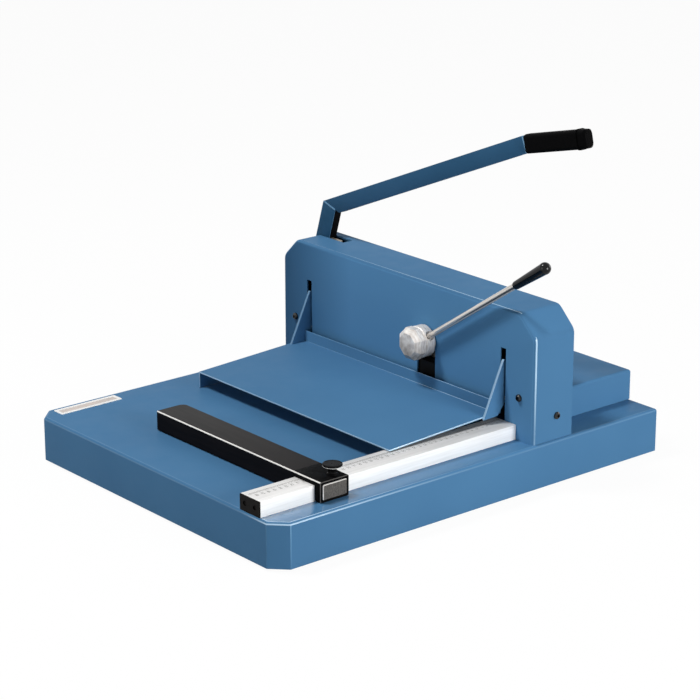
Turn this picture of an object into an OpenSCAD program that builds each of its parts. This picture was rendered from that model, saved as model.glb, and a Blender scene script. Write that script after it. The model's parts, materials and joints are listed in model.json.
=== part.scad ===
// Lever stack paper cutter: sheet-steel base and blade housing, side lever, clamp lever, gauge and guard.
// Millimetres, +Z up, +Y to the back. The origin lies on the underside of the base, at its centre.

/* [Base] */
// Width of the base
base_w = 580; // [540:1:640]
// Depth of the base, front to back
base_d = 726; // [700:1:800]
// Height of the table above the underside of the base
base_h = 67; // [60:1:85]
// Length cut off each front corner of the base
corner_cut = 23; // [10:1:35]
// Bend radius along the top edges of the base and the rear cover
base_edge_r = 4; // [2:0.5:6]
// Radius of the upright corners of the base and the rear cover
upright_r = 1.5; // [1:0.5:4]
// Thickness of all sheet steel
sheet = 2.5; // [2:0.1:3]
// Width of the rails under the end frames
rail_w = 24; // [18:1:26]
// Diameter of a rubber foot
foot_d = 40; // [30:1:50]
// Height of a rubber foot below the base
foot_h = 4; // [3:0.5:10]
// Distance from the sides and ends of the base to the feet
foot_inset = 48; // [40:1:60]
// Spacing across of the stand bolts
stand_x = 400; // [300:1:420]
// Spacing front to back of the stand bolts
stand_y = 520; // [400:1:560]
// Diameter of the stand bolt holes
stand_hole_d = 9; // [6:0.5:12]

/* [Blade housing] */
// Distance from the front of the base to the front of the housing
housing_setback = 471; // [440:1:480]
// Height of the housing above the table
housing_h = 191.5; // [186:0.5:210]
// Distance from the side of the base to the end of the housing
housing_inset = 4; // [0:0.5:8]
// Width of the sloping shoulder at each end
shoulder_w = 32; // [24:1:36]
// Height of the sloping shoulder at each end
shoulder_h = 31; // [24:1:36]
// Bend radius at the ends of the shoulders
shoulder_r = 16; // [10:1:20]
// Bend radius round the front of the housing
housing_edge_r = 5; // [3:0.5:7]
// Thickness of the end frames
cheek_t = 10; // [8:0.5:12]
// Width of the foot of an end frame
cheek_foot = 28; // [20:1:32]
// Thickness of the main beam at the back of the housing
beam_t = 12; // [10:0.5:16]
// Height of the upper cross bar
upper_bar_h = 18; // [14:1:20]
// Height of the passage for paper through the housing, above the table
passage_h = 45; // [40:1:52]
// Height of the front panel's lower edge above the table
front_gap = 30; // [29:0.5:36]
// Diameter of the heads of the housing screws
screw_head_d = 11; // [8:0.5:13]
// Distance from the end of the housing to the screws in its front
front_screw_inset = 30; // [22:0.5:36]
// Height above the table of the screws in the front
front_screw_rise = 65; // [58:1:72]
// Height above the table of the screws in the ends
end_screw_rise = 36; // [28:1:50]

/* [Cutting] */
// Distance from the left side of the base to the left end of the cut
cut_margin = 77.5; // [76:0.5:90]
// Free height for the stack of paper
paper_gap = 26; // [20:1:28]
// Height of the blade
blade_h = 60; // [50:1:62]
// Thickness of the blade
blade_t = 6; // [4:0.5:8]
// Angle of the blade's bevel
bevel_angle = 24; // [20:1:30]
// How far the blade edge sits above the free height at rest
edge_guard = 2; // [1:0.5:3]
// How far the blade edge enters the cutting stick
bite = 0.5; // [0.3:0.1:0.8]
// Angle of the blade's path from the vertical
shear_angle = 15; // [8:1:18]
// Thickness of the blade carrier
carrier_t = 12; // [10:0.5:16]
// Diameter of the pins that guide the carrier
guide_pin_d = 18; // [14:0.5:20]
// Distance from the left end of the blade to the nearer guide pin
guide_inset_left = 96.5; // [90:0.5:105]
// Distance from the right end of the blade to the nearer guide pin
guide_inset_right = 81.5; // [60:0.5:90]
// Distance between the blade's return springs
blade_spring_pitch = 60; // [50:1:65]
// Width and depth of the cutting stick
stick_w = 12; // [10:0.5:14]
// Number of blade screws
blade_screw_count = 6; // [4:1:8]

/* [Cutting lever] */
// Distance from the end of the housing to the lever pivot
lever_inset = 41; // [40:1:48]
// Depth of the lever pivot below the top of the housing
lever_pivot_drop = 58.5; // [54:0.5:62]
// Angle that the lever swings through
lever_swing = 24.5; // [20:0.5:24.5]
// Height of the elbow above the pivot
elbow_rise = 115; // [108:1:125]
// Lean of the lever post from the vertical
post_lean = 17; // [14:0.5:20]
// Width of the lever post
post_w = 31; // [27:0.5:33]
// Rise of the long bar above the horizontal
bar_rise = 22.6; // [22:0.1:26]
// Width of the long bar
bar_w = 25.5; // [22:0.5:30]
// Length of the long bar from the elbow to the grip
bar_length = 483; // [440:1:520]
// Thickness of the lever
lever_t = 14; // [10:0.5:16]
// Rise of the grip above the horizontal
grip_rise = 13.6; // [10:0.2:20]
// Length of the grip
grip_length = 124; // [110:1:150]
// Height of the grip
grip_w = 28; // [24:0.5:32]
// Thickness of the grip
grip_t = 20; // [18:0.5:26]
// Diameter of the lever shaft
lever_shaft_d = 20; // [16:0.5:22]
// Diameter of the crank pin
crank_pin_d = 14; // [10:0.5:16]

/* [Press] */
// Thickness of the press beam
press_t = 18; // [16:0.5:22]
// Height of the press beam
press_h = 42; // [36:1:46]
// Place of the clamp shaft to the right of the middle
clamp_x = 55; // [40:1:70]
// Height of the clamp shaft above the table
clamp_rise = 103; // [100:1:108]
// Diameter of the clamp shaft
clamp_shaft_d = 16; // [12:0.5:16]
// Tooth module of the rack and pinion
gear_module = 1.5; // [1.4:0.05:1.6]
// Number of teeth on the pinion
pinion_teeth = 15; // [15:1:16]
// Angle that the clamp lever turns through
clamp_swing = 120; // [90:1:120]
// Diameter of the press guide rods
guide_rod_d = 12; // [10:0.5:12]
// Distance from the ends of the press beam to its guide rods
guide_rod_inset = 28.5; // [20:0.5:40]
// Distance from a guide rod to the spring beside it
spring_spacing = 55; // [40:1:60]

/* [Clamp lever] */
// Diameter of the hub
hub_d = 49; // [44:0.5:52]
// Length of the eight-sided front part of the hub
hub_nut_l = 18; // [14:0.5:22]
// Width across the flats of the hub's front face
hub_face_w = 33; // [28:0.5:40]
// Length of the sloping facets round the hub's front face
hub_facet_l = 6.5; // [4:0.5:9]
// Length of the round rear part of the hub
hub_ring_l = 19; // [16:0.5:22]
// Rise of the clamp rod above the horizontal
rod_rise = 33.5; // [25:0.5:40]
// Diameter of the clamp rod
rod_d = 9.5; // [8:0.5:12]
// Distance from the clamp shaft to the knob
rod_reach = 240; // [200:1:260]
// Length of the knob
knob_l = 78; // [60:1:90]
// Diameter of the knob's ball end
knob_d = 18; // [15:0.5:22]

/* [Gauge] */
// Width of the ruler bar
ruler_w = 43.5; // [38:0.5:46]
// Height of the ruler bar
ruler_h = 23; // [20:0.5:25]
// Distance from the side of the base to the ruler bar
ruler_inset = 39; // [36:0.5:44]
// Distance from the front of the base to the ruler bar
ruler_front = 2; // [1:0.5:20]
// Width of the gauge, front to back
gauge_w = 50; // [44:1:56]
// Height of the gauge
gauge_h = 30; // [28:0.5:32]
// Length of the gauge bar to the left of the ruler
gauge_reach = 317; // [280:1:340]
// How far the gauge block sticks out past the ruler
gauge_lip = 12; // [9:0.5:18]
// Distance from the front of the base to the gauge at rest
gauge_front = 96; // [90:1:120]
// Diameter of the gauge's thumb knob
thumb_d = 28; // [24:0.5:32]

/* [Guard] */
// Distance from the side of the ruler bar to the right guard arm
arm_gap = 14; // [13.5:0.5:16.5]
// Thickness of a guard arm
arm_t = 4; // [3:0.5:5]
// Width of the slot for a guard arm
arm_slot_w = 11; // [9:0.5:11]
// Height of the slot for a guard arm above the table
arm_slot_h = 132; // [126:1:140]
// Height of the guard pivot above the table
guard_pivot_rise = 56; // [52:1:60]
// Depth of the guard from its front edge to its bend
guard_d = 203; // [180:1:210]
// Height of the guard's front edge above the table
guard_front_h = 26; // [25:0.5:29]
// Height of the guard's bend above the table
guard_rear_h = 35.5; // [33:0.5:38]
// Height of the upstand along the guard's rear
upstand_h = 17; // [12:0.5:18]
// Height of the tip of a guard arm above the table
arm_tip_h = 112; // [100:1:116]

/* [Rear cover] */
// Width of the rear cover
rear_cover_w = 468; // [450:1:480]
// Height of the rear cover above the table
rear_cover_h = 47.5; // [38:0.5:52]
// Distance of the rear cover's hinges from the middle
rear_hinge_x = 150; // [100:1:190]

/* [Fits] */
// Gap between sheet-steel pieces and what moves beside them
gap = 1.5; // [1:0.1:2]
// Gap under pieces that slide over the table
table_gap = 0.5; // [0.3:0.1:1]
// Radial clearance of turning and sliding fits
run_fit = 0.05; // [0.03:0.01:0.1]
// Clearance of the crank pin in its yoke
yoke_fit = 0.2; // [0.15:0.05:0.4]
// Clearance of fixed pieces in their seats
seat_fit = 0.02; // [0.01:0.01:0.1]
// Clearance round pieces that slide on the ruler
slide_fit = 0.3; // [0.2:0.05:0.5]

/* [Hidden] */
$fn = 64;
hull_fn = 32;
coil_rings = 8;
blue = [0.28, 0.46, 0.62];
black = [0.06, 0.06, 0.07];
steel = [0.72, 0.73, 0.74];
dark_steel = [0.35, 0.36, 0.38];
silver = [0.86, 0.87, 0.88];
bronze = [0.72, 0.53, 0.3];

// Main planes of the base
half_w = base_w / 2;
base_front = -base_d / 2;
base_back = base_d / 2;
table = base_h;
cavity_top = table - sheet;

// Layers of the housing, front to back
front_y = base_front + housing_setback;
panel_y = front_y + sheet;
press_y0 = panel_y + gap;
press_y1 = press_y0 + press_t;
blade_y0 = press_y1 + 2;
blade_y1 = blade_y0 + blade_t;
carrier_y1 = blade_y1 + carrier_t;
lever_y0 = carrier_y1 + 6;
lever_y1 = lever_y0 + lever_t;
beam_y0 = lever_y1 + gap;
beam_y1 = beam_y0 + beam_t;
rear_y = beam_y1 + sheet;
press_mid_y = (press_y0 + press_y1) / 2;
lever_mid_y = (lever_y0 + lever_y1) / 2;
frame_y0 = panel_y + 1;

// Heights and ends of the housing
housing_top = table + housing_h;
housing_half = half_w - housing_inset;
cheek_x1 = housing_half - sheet;
cheek_x0 = cheek_x1 - cheek_t;
cheek_top = housing_top - shoulder_h - sheet - 2;
cheek_chamfer = 6;
upper_bar_z1 = cheek_top - 1;
upper_bar_z0 = upper_bar_z1 - upper_bar_h;
upper_bar_y1 = blade_y1 - 1;
beam_z0 = table + passage_h;
beam_top_gap = 14;
beam_z1 = housing_top - sheet - beam_top_gap;

// Blade and its path
lay_x = half_w - ruler_inset - ruler_w;
cut_length = lay_x + half_w - cut_margin;
arm_x = lay_x + arm_gap;
edge_z = table + paper_gap + edge_guard;
blade_top = edge_z + blade_h;
blade_drop = paper_gap + edge_guard + bite;
blade_shift = blade_drop * tan(shear_angle);
blade_overlap = 1.5;
blade_x0 = lay_x - cut_length + blade_shift - blade_overlap;
blade_x1 = lay_x + blade_shift + blade_overlap;
blade_mid_x = (blade_x0 + blade_x1) / 2;
bevel_h = blade_t / tan(bevel_angle);
carrier_z0 = edge_z + bevel_h + 9;
guide_head_r = guide_pin_d / 2 + 5;
guide_z = blade_top + guide_head_r + 5;
guide_xs = [blade_x0 + guide_inset_left, blade_x1 - guide_inset_right];
path_length = blade_drop / cos(shear_angle);
blade_screw_z = (blade_top + carrier_z0) / 2;
blade_screw_r = 4;
blade_screw_margin = 25;
blade_screw_pitch = (blade_x1 - blade_x0 - 2 * blade_screw_margin) / (blade_screw_count - 1);

// Lever, crank and yoke
lever_x = -housing_half + lever_inset;
lever_z = housing_top - lever_pivot_drop;
crank_r = blade_drop / (2 * sin(lever_swing / 2));
crank_pin = [lever_x + crank_r * cos(lever_swing / 2), lever_z + crank_r * sin(lever_swing / 2)];
crank_pin_r = crank_pin_d / 2;
crank_hub_r = lever_shaft_d / 2 + 12;
bush_t = 3;
crest_rise = lever_pivot_drop - sheet - 9;
crest_reach = 46;
elbow = [lever_x, lever_z + elbow_rise];
post_dir = [sin(post_lean), cos(post_lean)];
post_right = [cos(post_lean), -sin(post_lean)];
bar_dir = [cos(bar_rise), sin(bar_rise)];
bar_down = [sin(bar_rise), -cos(bar_rise)];
post_root_rise = 13;
post_root_z = lever_z + crank_hub_r + post_root_rise;
post_length = (elbow[1] - post_root_z) / cos(post_lean);
post_root = elbow - post_length * post_dir;
bar_cut = bar_w / tan(bar_rise + post_lean);
bar_end = elbow + bar_length * bar_dir + bar_w / 2 * bar_down;
tang_w = bar_w - 10;
tang_t = lever_t - 4;
tang_length = grip_length * 0.7;
slot_swing = post_lean + lever_swing;
post_offset = elbow_rise * sin(post_lean);
slot_foot = lever_pivot_drop - shoulder_h / 2;
slot_x0 = lever_x - (post_offset - slot_foot * sin(post_lean)) / cos(post_lean) - 4;
slot_x1 = lever_x + (lever_pivot_drop * sin(slot_swing) + post_w - post_offset) / cos(slot_swing) + 4;
yoke_top = crank_pin[1] + crank_pin_r + yoke_fit;
carrier_z1 = max(yoke_top, guide_z + blade_drop + guide_pin_d / 2) + 9;

// Press, rack and pinion
press_z0 = table + paper_gap;
press_z1 = press_z0 + press_h;
press_overlap = 6;
press_half = lay_x + press_overlap;
guide_rod_x = press_half - guide_rod_inset;
clamp_z = table + clamp_rise;
clamp_shaft_r = clamp_shaft_d / 2;
shaft_end_r = 0.8 * clamp_shaft_r;
pitch_r = gear_module * pinion_teeth / 2;
pressure_angle = 20;
tooth_backlash = 0.3;
rack_addendum = 0.8 * gear_module;
tooth_depth = 1.25 * gear_module;
tooth_pitch = PI * gear_module;
press_travel = pitch_r * clamp_swing * PI / 180;
rack_x = clamp_x - pitch_r;
rack_w = 16;
gear_y0 = frame_y0 + 9;
gear_y1 = press_y1 - 0.5;
rack_top = clamp_z + press_travel + 1.6 * tooth_pitch;
fork_z0 = blade_top + 2.5;
fork_half = clamp_shaft_r + 12;
hub_y1 = front_y - gap;
hub_y0 = hub_y1 - hub_ring_l;
nut_y0 = hub_y0 - hub_nut_l;
hub_r = hub_d / 2;
rod_y = (hub_y0 + hub_y1) / 2;
hub_slot_w = hub_d * 0.82;
spring_x = guide_rod_x - spring_spacing;
spring_wire = 2;
press_spring_r = 6.5;
spring_stud_r = coil_bore(press_spring_r, spring_wire) - slide_fit;
spring_stud_h = 8;

// Blade return springs
blade_spring_r = 8;
blade_spring_wire = 2.4;
blade_spring_xs = [blade_mid_x, blade_mid_x + blade_spring_pitch];
blade_spring_y = (carrier_y1 + beam_y0) / 2;
spring_lug_half = 9;
blade_lug_rise = 14;
blade_lug_z = carrier_z0 + blade_lug_rise;
beam_lug_z = beam_z1 - 12;

// Gauge and ruler
ruler_x1 = half_w - ruler_inset;
ruler_y0 = base_front + ruler_front;
ruler_wall = 3;
end_cap_t = 1.2;
end_cap_plug_l = 12;
gauge_y0 = base_front + gauge_front;
gauge_y1 = gauge_y0 + gauge_w;
gauge_z0 = table + table_gap;
gauge_z1 = gauge_z0 + gauge_h;
block_x0 = lay_x - slide_fit - 3;
block_x1 = ruler_x1 + gauge_lip;
bar_x0 = block_x0 - gauge_reach;
gauge_wall = 2.5;
thumb_x = ruler_x1 - 4.5;
thumb_y = gauge_y1 - 15;
stud_r = 4;

// Guard
guard_sheet = 2;
guard_pivot = [panel_y + 5.5, table + guard_pivot_rise];
guard_bend_y = front_y - 11;
guard_front_y = guard_bend_y - guard_d;
guard_slope = atan((guard_rear_h - guard_front_h) / guard_d);
guard_x0 = -arm_x - arm_t / 2 - 3.5;
guard_x1 = arm_x - arm_t / 2;
arm_foot_l = 27;
guard_pin_r = 4;
guard_lug_r = 9;
hinge_block_x = arm_x + arm_slot_w / 2;
hinge_block_d = 19;
hinge_block_half = 10;
guard_pin_l = 20;
screw_hole_l = 9;

// Rear cover and its hinges
hinge_leaf = 2;
knuckle_r = 3.5;
hinge_pin_r = 1.75;
hinge_half = 20;
housing_leaf_h = 20;
cover_leaf_d = 22;
knuckle_half = 9;
hinge_y = rear_y + hinge_leaf + knuckle_r + 0.4;
hinge_z = table + rear_cover_h + knuckle_r + 0.5;
cover_y0 = rear_y + hinge_leaf + 0.5;
cover_y1 = base_back - table_gap;

// Points of a convex outline moved inwards by d
function unit(v) = v / norm(v);
function inward(a, b) = unit([a[1] - b[1], b[0] - a[0]]);
function inset(p, d) = [
    for (i = [0 : len(p) - 1])
        let (
            n0 = inward(p[(i + len(p) - 1) % len(p)], p[i]),
            n1 = inward(p[i], p[(i + 1) % len(p)])
        )
        p[i] + d * (n0 + n1) / (1 + n0 * n1)
];

// A convex outline with every corner rounded to radius r
module rounded(p, r) {
    n = len(p);
    ends = [
        for (i = [0 : n - 1])
            let (
                u = unit(p[(i + n - 1) % n] - p[i]),
                v = unit(p[(i + 1) % n] - p[i]),
                t = r / tan(acos(u * v) / 2)
            )
            each [p[i] + t * u, p[i] + t * v]
    ];
    polygon(ends);
    for (q = inset(p, r))
        translate(q) circle(r);
}

// Carries an outline drawn in X and Z along Y
module along_y(y0, y1) {
    translate([0, y1, 0]) rotate([90, 0, 0]) linear_extrude(y1 - y0) children();
}

// Carries an outline drawn in Y and Z along X
module along_x(x0, x1) {
    translate([x0, 0, 0]) rotate([90, 0, 90]) linear_extrude(x1 - x0) children();
}

// A round bar along Y
module bar_y(x, z, y0, y1, r) {
    translate([x, y0, z]) rotate([-90, 0, 0]) cylinder(r = r, h = y1 - y0);
}

// A round bar along X
module bar_x(y, z, x0, x1, r) {
    translate([x0, y, z]) rotate([0, 90, 0]) cylinder(r = r, h = x1 - x0);
}

// A block between two corners
module block(a, b) {
    translate(a) cube(b - a);
}

module both_sides() {
    children();
    mirror([1, 0, 0]) children();
}

// Two round ends and the straight sides that touch them
module link(a, ra, b, rb) {
    d = norm(b - a);
    turn = atan2(b[1] - a[1], b[0] - a[0]);
    side = acos((ra - rb) / d);
    translate(a) circle(ra);
    translate(b) circle(rb);
    polygon([
        a + ra * [cos(turn + side), sin(turn + side)],
        a + ra * [cos(turn - side), sin(turn - side)],
        b + rb * [cos(turn - side), sin(turn - side)],
        b + rb * [cos(turn + side), sin(turn + side)]
    ]);
}

// Discs of radius r in the corners of a convex outline
module corner_discs(p, r) {
    for (c = inset(p, r))
        translate(c) circle(r, $fn = hull_fn);
}

// A folded box over an outline, with a bend of radius r along its top edges and upright corners of radius q
module soft_box(p, z0, z1, r, q) {
    hull() {
        translate([0, 0, z0]) linear_extrude(z1 - r - z0) corner_discs(p, q);
        for (a = [15 : 15 : 90])
            let (d = r * (1 - cos(a)), z = z1 - r * (1 - sin(a)))
            translate([0, 0, z - 0.02]) linear_extrude(0.02) corner_discs(inset(p, d), q);
    }
}

// Least clear radius inside a coil, whose rings are joined by straight lengths
function coil_bore(r, wire) = r * cos(180 / coil_rings) - wire / 2;

// A coil of round wire standing on Z, between two heights
module coil(r, wire, pitch, z0, z1) {
    sides = 6;
    turns = (z1 - z0 - wire) / pitch;
    rings = ceil(turns * coil_rings);
    step = turns * 360 / rings;
    points = [
        for (i = [0 : rings], j = [0 : sides - 1])
            let (a = i * step, b = j * 360 / sides, q = r + wire / 2 * cos(b))
            [q * cos(a), q * sin(a), z0 + wire / 2 + pitch * a / 360 + wire / 2 * sin(b)]
    ];
    faces = [
        [for (j = [0 : sides - 1]) sides - 1 - j],
        for (i = [0 : rings - 1], j = [0 : sides - 1])
            let (k = (j + 1) % sides, a = i * sides, b = a + sides)
            each [[a + j, a + k, b + j], [a + k, b + k, b + j]],
        [for (j = [0 : sides - 1]) rings * sides + j]
    ];
    polyhedron(points, [for (f = faces) [for (m = [len(f) - 1 : -1 : 0]) f[m]]]);
}

function base_outline() = [
    [-half_w + corner_cut, base_front], [half_w - corner_cut, base_front],
    [half_w, base_front + corner_cut], [half_w, base_back],
    [-half_w, base_back], [-half_w, base_front + corner_cut]
];

module base_housing() color(blue) difference() {
    soft_box(base_outline(), 0, table, base_edge_r, upright_r);
    translate([0, 0, -1]) linear_extrude(cavity_top + 1) rounded(inset(base_outline(), sheet), upright_r);
    block([-stick_half() - slide_fit, stick_y0() - slide_fit, cavity_top - 1],
          [stick_half() + slide_fit, stick_y0() + stick_w + slide_fit, table + 1]);
}

function stand_points() = [
    for (x = [-1, 1], y = [-1, 1]) [x * stand_x / 2, y * stand_y / 2]
];
function foot_points() = [
    for (x = [-1, 1], y = [-1, 1]) [x * (half_w - foot_inset), y * (base_d / 2 - foot_inset)]
];
foot_neck_r = 5;

module base_floor() color(dark_steel) difference() {
    linear_extrude(sheet) rounded(inset(base_outline(), sheet + slide_fit), upright_r);
    for (p = stand_points())
        translate([p[0], p[1], -1]) cylinder(d = stand_hole_d, h = sheet + 2);
    for (p = foot_points())
        translate([p[0], p[1], -1]) cylinder(r = foot_neck_r + seat_fit, h = sheet + 2);
}

module base_rails() color(dark_steel) both_sides() difference() {
    block([cheek_x1 - rail_w - sheet, base_front + 2 * corner_cut, sheet],
          [cheek_x1 - sheet, base_back - 2 * sheet, cavity_top]);
    block([cheek_x1 - rail_w, base_front + corner_cut, 2 * sheet],
          [cheek_x1 - 2 * sheet, base_back, cavity_top - sheet]);
}

module rubber_feet() color(black) for (p = foot_points()) translate([p[0], p[1], 0]) {
    rotate_extrude()
        polygon([[0, -foot_h], [foot_d / 2 - 3, -foot_h], [foot_d / 2, -foot_h / 2], [foot_d / 2, 0],
                 [foot_neck_r, 0], [foot_neck_r, sheet], [0, sheet]]);
}

function stick_half() = cut_length / 2 + 12;
function stick_y0() = blade_y0 - stick_w / 2;
kerf_w = 2;
kerf_depth = 1.2;

module stick_tray() color(dark_steel) difference() {
    block([-stick_half() - slide_fit, stick_y0() - slide_fit - sheet, table - stick_w - sheet],
          [stick_half() + slide_fit, stick_y0() + stick_w + slide_fit + sheet, cavity_top]);
    block([-stick_half() - slide_fit - 1, stick_y0() - slide_fit, table - stick_w],
          [stick_half() + slide_fit + 1, stick_y0() + stick_w + slide_fit, table]);
}

module cutting_stick() color([0.85, 0.2, 0.15]) difference() {
    block([-stick_half(), stick_y0(), table - stick_w], [stick_half(), stick_y0() + stick_w, table]);
    block([-stick_half() - 1, blade_y0 - kerf_w / 2, table - kerf_depth],
          [stick_half() + 1, blade_y0 + kerf_w / 2, table + 1]);
}

frame_bolt_r = 5;
frame_bolt_inset = 22;
frame_bolt_ys = [frame_y0 + frame_bolt_inset, beam_y1 - frame_bolt_inset];
end_screw_y = front_y + 0.6 * (rear_y - front_y);
end_screw_z = table + end_screw_rise;
front_screw_x = housing_half - front_screw_inset;
front_screw_z = table + front_screw_rise;
housing_screw_r = 3;

module cheek() difference() {
    union() {
        along_y(frame_y0, beam_y1) polygon([
            [cheek_x0, table], [cheek_x1, table], [cheek_x1, cheek_top - cheek_chamfer],
            [cheek_x1 - cheek_chamfer, cheek_top], [cheek_x0, cheek_top]
        ]);
        block([cheek_x0 - cheek_foot, frame_y0, table], [cheek_x0, beam_y1, table + cheek_t]);
    }
    for (y = frame_bolt_ys)
        translate([cheek_x0 - cheek_foot / 2, y, table - 1])
            cylinder(r = frame_bolt_r + seat_fit, h = cheek_t + 2);
    bar_x(end_screw_y, end_screw_z, cheek_x0 - 1, cheek_x1 + 1, housing_screw_r + seat_fit);
}

module left_cheek() color(dark_steel) mirror([1, 0, 0]) cheek();
module right_cheek() color(dark_steel) cheek();

module frame_bolts() color(steel) both_sides() for (y = frame_bolt_ys)
    translate([cheek_x0 - cheek_foot / 2, y, table]) {
        cylinder(r = frame_bolt_r, h = cheek_t);
        translate([0, 0, cheek_t]) cylinder(r = frame_bolt_r * 1.8, h = 6, $fn = 6);
    }

module main_beam() color(dark_steel) difference() {
    union() {
        block([-cheek_x0, beam_y0, beam_z0], [cheek_x0, beam_y1, cheek_top]);
        block([-housing_half + shoulder_w + 6, beam_y0, cheek_top - 1],
              [housing_half - shoulder_w - 6, beam_y1, beam_z1]);
        for (x = blade_spring_xs) {
            block([x - spring_lug_half, blade_spring_y - spring_lug_half, beam_lug_z],
                  [x + spring_lug_half, beam_y0, beam_z1]);
            translate([x, blade_spring_y, beam_lug_z - spring_stud_h])
                cylinder(r = blade_stud_r(), h = spring_stud_h);
        }
    }
    for (x = guide_xs)
        bar_y(x, guide_z, beam_y0 - 1, beam_y1 + 1, guide_shank_r() + seat_fit);
    bar_y(lever_x, lever_z, beam_y0 - 1, beam_y1 + 1, lever_shaft_d / 2 + seat_fit);
}

function blade_stud_r() = coil_bore(blade_spring_r, blade_spring_wire) - slide_fit;
function guide_shank_r() = guide_pin_d / 3;

module guide_pins() color(steel) for (x = guide_xs) {
    bar_y(x, guide_z, blade_y1 - 1, carrier_y1 + slide_fit, guide_pin_d / 2);
    bar_y(x, guide_z, blade_y1 - 6, blade_y1 - slide_fit, guide_head_r);
    bar_y(x, guide_z, carrier_y1 + slide_fit, beam_y0, guide_head_r - 2);
    bar_y(x, guide_z, beam_y0, beam_y1, guide_shank_r());
}

module upper_bar() color(dark_steel) difference() {
    union() {
        block([-cheek_x0, frame_y0, upper_bar_z0], [cheek_x0, upper_bar_y1, upper_bar_z1]);
        both_sides() translate([spring_x, press_mid_y, upper_bar_z0 - spring_stud_h])
            cylinder(r = spring_stud_r, h = spring_stud_h);
    }
    both_sides() translate([guide_rod_x, press_mid_y, upper_bar_z0 - 1])
        cylinder(d = guide_rod_d + 2 * seat_fit, h = upper_bar_h - 3);
}

module press_guide_rods() color(steel) both_sides()
    translate([guide_rod_x, press_mid_y, press_z0 + 4])
        cylinder(d = guide_rod_d, h = upper_bar_z0 + upper_bar_h - 4 - press_z0 - 4);

module clamp_bearing() color(dark_steel) difference() {
    union() {
        block([clamp_x - fork_half, frame_y0, fork_z0], [clamp_x + fork_half, gear_y0 - 1, upper_bar_z0]);
        block([clamp_x - fork_half, blade_y0 - 1, fork_z0],
              [clamp_x + fork_half, upper_bar_y1, upper_bar_z0]);
    }
    bar_y(clamp_x, clamp_z, frame_y0 - 1, gear_y0, clamp_shaft_r + run_fit);
    bar_y(clamp_x, clamp_z, gear_y0, upper_bar_y1 + 1, shaft_end_r + run_fit);
}

module lever_bracket() color(dark_steel) difference() {
    block([-cheek_x0, blade_y1 + 2, lever_z - crank_hub_r + 2],
          [lever_x + crank_hub_r - 4, carrier_y1, lever_z + crank_hub_r - 2]);
    bar_y(lever_x, lever_z, blade_y1, carrier_y1 + 1, lever_shaft_d / 2 + seat_fit);
}

module lever_shaft() color(steel) {
    bar_y(lever_x, lever_z, blade_y1 + 2, beam_y1, lever_shaft_d / 2);
    bar_y(lever_x, lever_z, blade_y1 - 1, blade_y1 + 2, lever_shaft_d / 2 + 3);
}

skirt = 2 * shoulder_r;
function housing_outline() = [
    [-housing_half, table - skirt], [housing_half, table - skirt],
    [housing_half, housing_top - shoulder_h], [housing_half - shoulder_w, housing_top],
    [-housing_half + shoulder_w, housing_top], [-housing_half, housing_top - shoulder_h]
];
function hub_slot_top() = clamp_z + hub_slot_w / 2 - 2;

module housing_shell() hull() {
    along_y(front_y + housing_edge_r, rear_y) corner_discs(housing_outline(), shoulder_r);
    for (a = [15 : 15 : 90])
        let (d = housing_edge_r * (1 - cos(a)), y = front_y + housing_edge_r * (1 - sin(a)))
        along_y(y, y + 0.02) corner_discs(inset(housing_outline(), d), shoulder_r - d);
}

module housing_cover() color(blue) difference() {
    housing_shell();
    along_y(panel_y, rear_y + 1) rounded(inset(housing_outline(), sheet), shoulder_r - sheet);
    block([-half_w, front_y - 1, table - skirt - 1], [half_w, rear_y + 1, table]);
    block([-arm_x, front_y - 1, table - 1], [arm_x, panel_y + 1, table + front_gap]);
    both_sides() block([arm_x - arm_slot_w / 2, front_y - 1, table - 1],
                       [arm_x + arm_slot_w / 2, panel_y + 1, table + arm_slot_h]);
    block([clamp_x - hub_slot_w / 2, front_y - 1, table - 1],
          [clamp_x + hub_slot_w / 2, panel_y + 1, hub_slot_top()]);
    block([slot_x0, lever_y0 - 2.5, housing_top - shoulder_h], [slot_x1, lever_y1 + 2.5, housing_top + 1]);
    both_sides() {
        bar_y(front_screw_x, front_screw_z, front_y - 1, panel_y + 1, housing_screw_r + slide_fit);
        bar_x(end_screw_y, end_screw_z, cheek_x1 - 1, housing_half + 1, housing_screw_r + slide_fit);
    }
}

module rear_panel() color(blue) difference() {
    along_y(beam_y1, rear_y) rounded(inset(housing_outline(), sheet + slide_fit), shoulder_r - sheet);
    block([-half_w, beam_y1 - 1, table - skirt - 1], [half_w, rear_y + 1, table]);
    block([-rear_cover_w / 2 + sheet, beam_y1 - 1, table - 1],
          [rear_cover_w / 2 - sheet, rear_y + 1, table + rear_cover_h - sheet]);
}

socket_r = 2.5;
screw_head_h = 4;

module socket_screw(length) difference() {
    union() {
        translate([0, 0, -length]) cylinder(r = housing_screw_r, h = length);
        rotate_extrude()
            polygon([[0, 0], [screw_head_d / 2, 0], [screw_head_d / 2, 2],
                     [screw_head_d / 2 - 2, screw_head_h], [0, screw_head_h]]);
    }
    translate([0, 0, 1.5]) cylinder(r = socket_r, h = screw_head_h, $fn = 6);
}

module housing_screws() color(black) both_sides() {
    translate([front_screw_x, front_y, front_screw_z]) rotate([90, 0, 0])
        socket_screw(sheet + screw_hole_l - 1);
    translate([housing_half, end_screw_y, end_screw_z]) rotate([0, 90, 0]) socket_screw(sheet + cheek_t);
}

module ruler_bar() color(silver) difference() {
    block([lay_x, ruler_y0 + end_cap_t, table], [ruler_x1, front_y - slide_fit, table + ruler_h]);
    block([lay_x + ruler_wall, ruler_y0, table + ruler_wall],
          [ruler_x1 - ruler_wall, front_y, table + ruler_h - ruler_wall]);
}

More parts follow.
